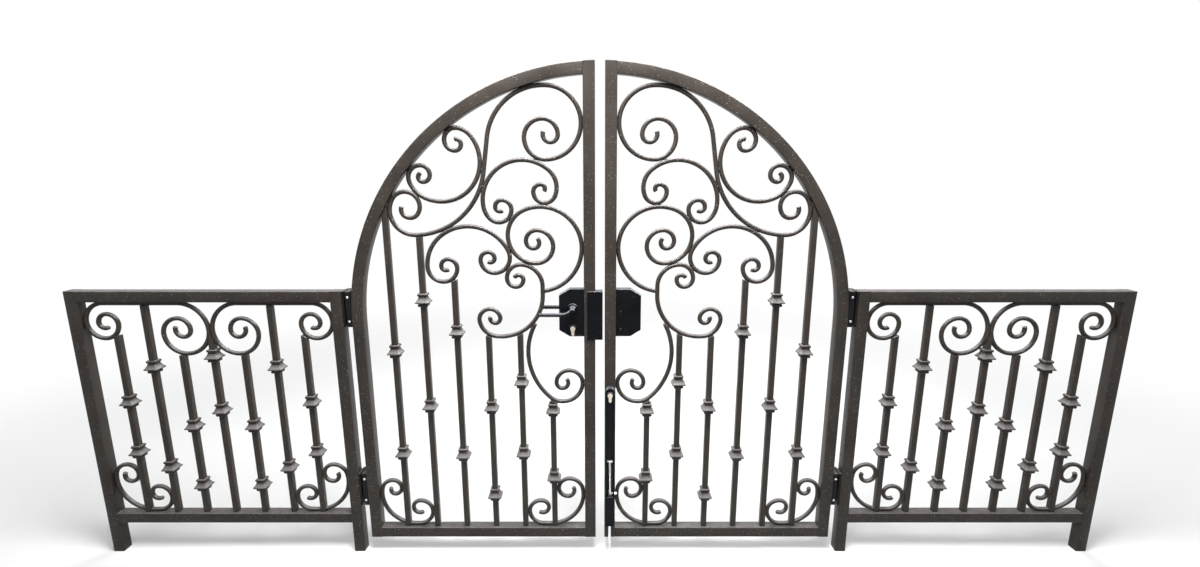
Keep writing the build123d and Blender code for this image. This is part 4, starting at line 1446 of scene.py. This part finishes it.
@dataclass
class Studio:
    """Floor, backdrop, lights and camera, in metres and degrees.

    The floor starts at front, curves up with the radius sweep and ends in a wall that is high; wide is its
    span along X. Fade is where its paint starts to turn white and where it is white.
    """

    lens: float = 17.25
    sensor: float = 36.0
    clip: Pair = (0.05, 60.0)
    pitch: float = 12.1
    distance: float = 1.872
    eye: float = 1.414
    paper: Triple = (0.86, 0.86, 0.86)
    bounce: Triple = (0.12, 0.116, 0.112)
    fade: Pair = (1.3, 4.2)
    sky: float = 0.24
    wide: Pair = (-14.0, 16.0)
    front: float = -9.0
    wall: float = 8.0
    high: float = 9.0
    sweep: float = 3.0
    lamps: tuple[Lamp, ...] = (
        Lamp("key", (-1.6, -3.2, 3.6), 1.1, 2.4, 18.0), Lamp("fill", (3.6, -3.2, 2.2), 0.8, 3.0, 7.0),
        Lamp("top", (0.0, -0.7, 2.9), 1.5, 1.2, 138.0), Lamp("back", (0.8, 2.8, 3.6), 1.0, 2.6, 115.0),
    )

    def build(self) -> None:
        """Makes the stage.

        The backdrop is a profile carried along X: level floor, a quarter circle up, and a wall.
        """
        angle = np.radians(np.linspace(-90.0, 0.0, 25))
        curve = np.array([self.wall - self.sweep, self.sweep]) + self.sweep * unit(angle)
        profile = np.concatenate([[(self.front, 0.0)], curve, [(self.wall, self.high)]])
        points = np.concatenate([np.insert(profile, 0, x, axis=1) for x in self.wide])
        j, count = np.arange(len(profile) - 1), len(profile)
        quads = np.stack([j, count + j, count + j + 1, j + 1], -1)
        mesh = bpy.data.meshes.new("studio_floor")
        mesh.from_pydata(points.tolist(), [], quads.tolist())
        mesh.shade_smooth()
        mesh.materials.append(self.ground())
        add_object("studio_floor", mesh)
        self.light()
        self.camera()

    @staticmethod
    def looked_at(nodes: Nodes) -> Socket:
        """Tells what is seen from what only throws soft light.

        Args:
            nodes: The tree that it is for.

        Returns:
            A mask that is 1 for what is seen, straight, mirrored or through glass, and 0 for soft light.
        """
        rays = nodes.add("ShaderNodeLightPath").outputs
        seen = nodes.work_out("MAXIMUM", rays["Is Camera Ray"], rays["Is Glossy Ray"])
        return nodes.work_out("MAXIMUM", seen, rays["Is Transmission Ray"])

    def ground(self) -> bpy.types.Material:
        """The floor and backdrop's material.

        Near the gate it is pale paint that takes the shadow. It fades to plain white with the distance from
        the gate, for what the camera sees and for what shines back from metal. To soft light it is dark, so
        that it throws little of it back up at the gate's lower half.

        Returns:
            The material.
        """
        material = bpy.data.materials.new("pale floor")
        material.use_nodes = True
        nodes = Nodes(material.node_tree)
        seen = self.looked_at(nodes)
        paint = nodes.add("ShaderNodeBsdfDiffuse", {"Color": nodes.mix(seen, self.bounce, self.paper)})
        white = nodes.add("ShaderNodeEmission")
        place = nodes.add("ShaderNodeTexCoord").outputs["Object"]
        middle, (near, far) = (GATE.middle * MM, 0.0, 0.0), self.fade
        reach = nodes.add("ShaderNodeVectorMath", {0: place, 1: middle}, operation="DISTANCE")
        feeds = {"Value": reach.outputs["Value"], "From Min": near, "From Max": far}
        fade = nodes.add("ShaderNodeMapRange", feeds, interpolation_type="SMOOTHSTEP")
        both = nodes.work_out("MULTIPLY", seen, fade.outputs["Result"])
        mixed = nodes.add("ShaderNodeMixShader", {0: both, 1: paint.outputs[0], 2: white.outputs[0]})
        nodes.add("ShaderNodeOutputMaterial", {"Surface": mixed.outputs[0]})
        return material

    def light(self) -> None:
        """Sets the lamps and the world, which is white to what looks at it and dimmer as a light."""
        scene = bpy.context.scene
        scene.world = bpy.data.worlds.new("studio")
        scene.world.use_nodes = True
        nodes = Nodes(scene.world.node_tree)
        strength = nodes.add("ShaderNodeMapRange", {"Value": self.looked_at(nodes), "To Min": self.sky})
        feeds = {"Color": (1.0, 1.0, 1.0), "Strength": strength.outputs["Result"]}
        background = nodes.add("ShaderNodeBackground", feeds)
        nodes.add("ShaderNodeOutputWorld", {"Surface": background.outputs[0]})
        for name, (x, y, z), aim, size, power in self.lamps:
            lamp = bpy.data.lights.new(name, "AREA")
            lamp.shape, lamp.size, lamp.energy = "SQUARE", size, power
            thing = add_object(name, lamp)
            thing.location = (GATE.middle * MM + x, y, z)
            thing.rotation_euler = (math.atan2(math.hypot(x, y), z - aim), 0.0, math.atan2(x, -y))
        scene.view_settings.view_transform = "Standard"

    def camera(self) -> None:
        """Sets the camera where the photograph was taken."""
        data = bpy.data.cameras.new("camera")
        data.lens, data.sensor_width = self.lens, self.sensor
        data.clip_start, data.clip_end = self.clip
        thing = add_object("camera", data)
        thing.location = (GATE.middle * MM, -(self.distance + GATE.tube / 2 * MM), self.eye)
        thing.rotation_euler = (math.radians(90.0 - self.pitch), 0.0, 0.0)
        bpy.context.scene.camera = thing


def main() -> None:
    """Builds the whole scene."""
    logging.basicConfig(level=logging.INFO, format="%(message)s")
    shop = Workshop()
    for side in Side:
        Leaf(shop, side).build()
        Bay(shop, side).build()
    LockSet(shop).build()
    DropBolt(shop).build()
    Studio().build()


if __name__ == "__main__":
    main()
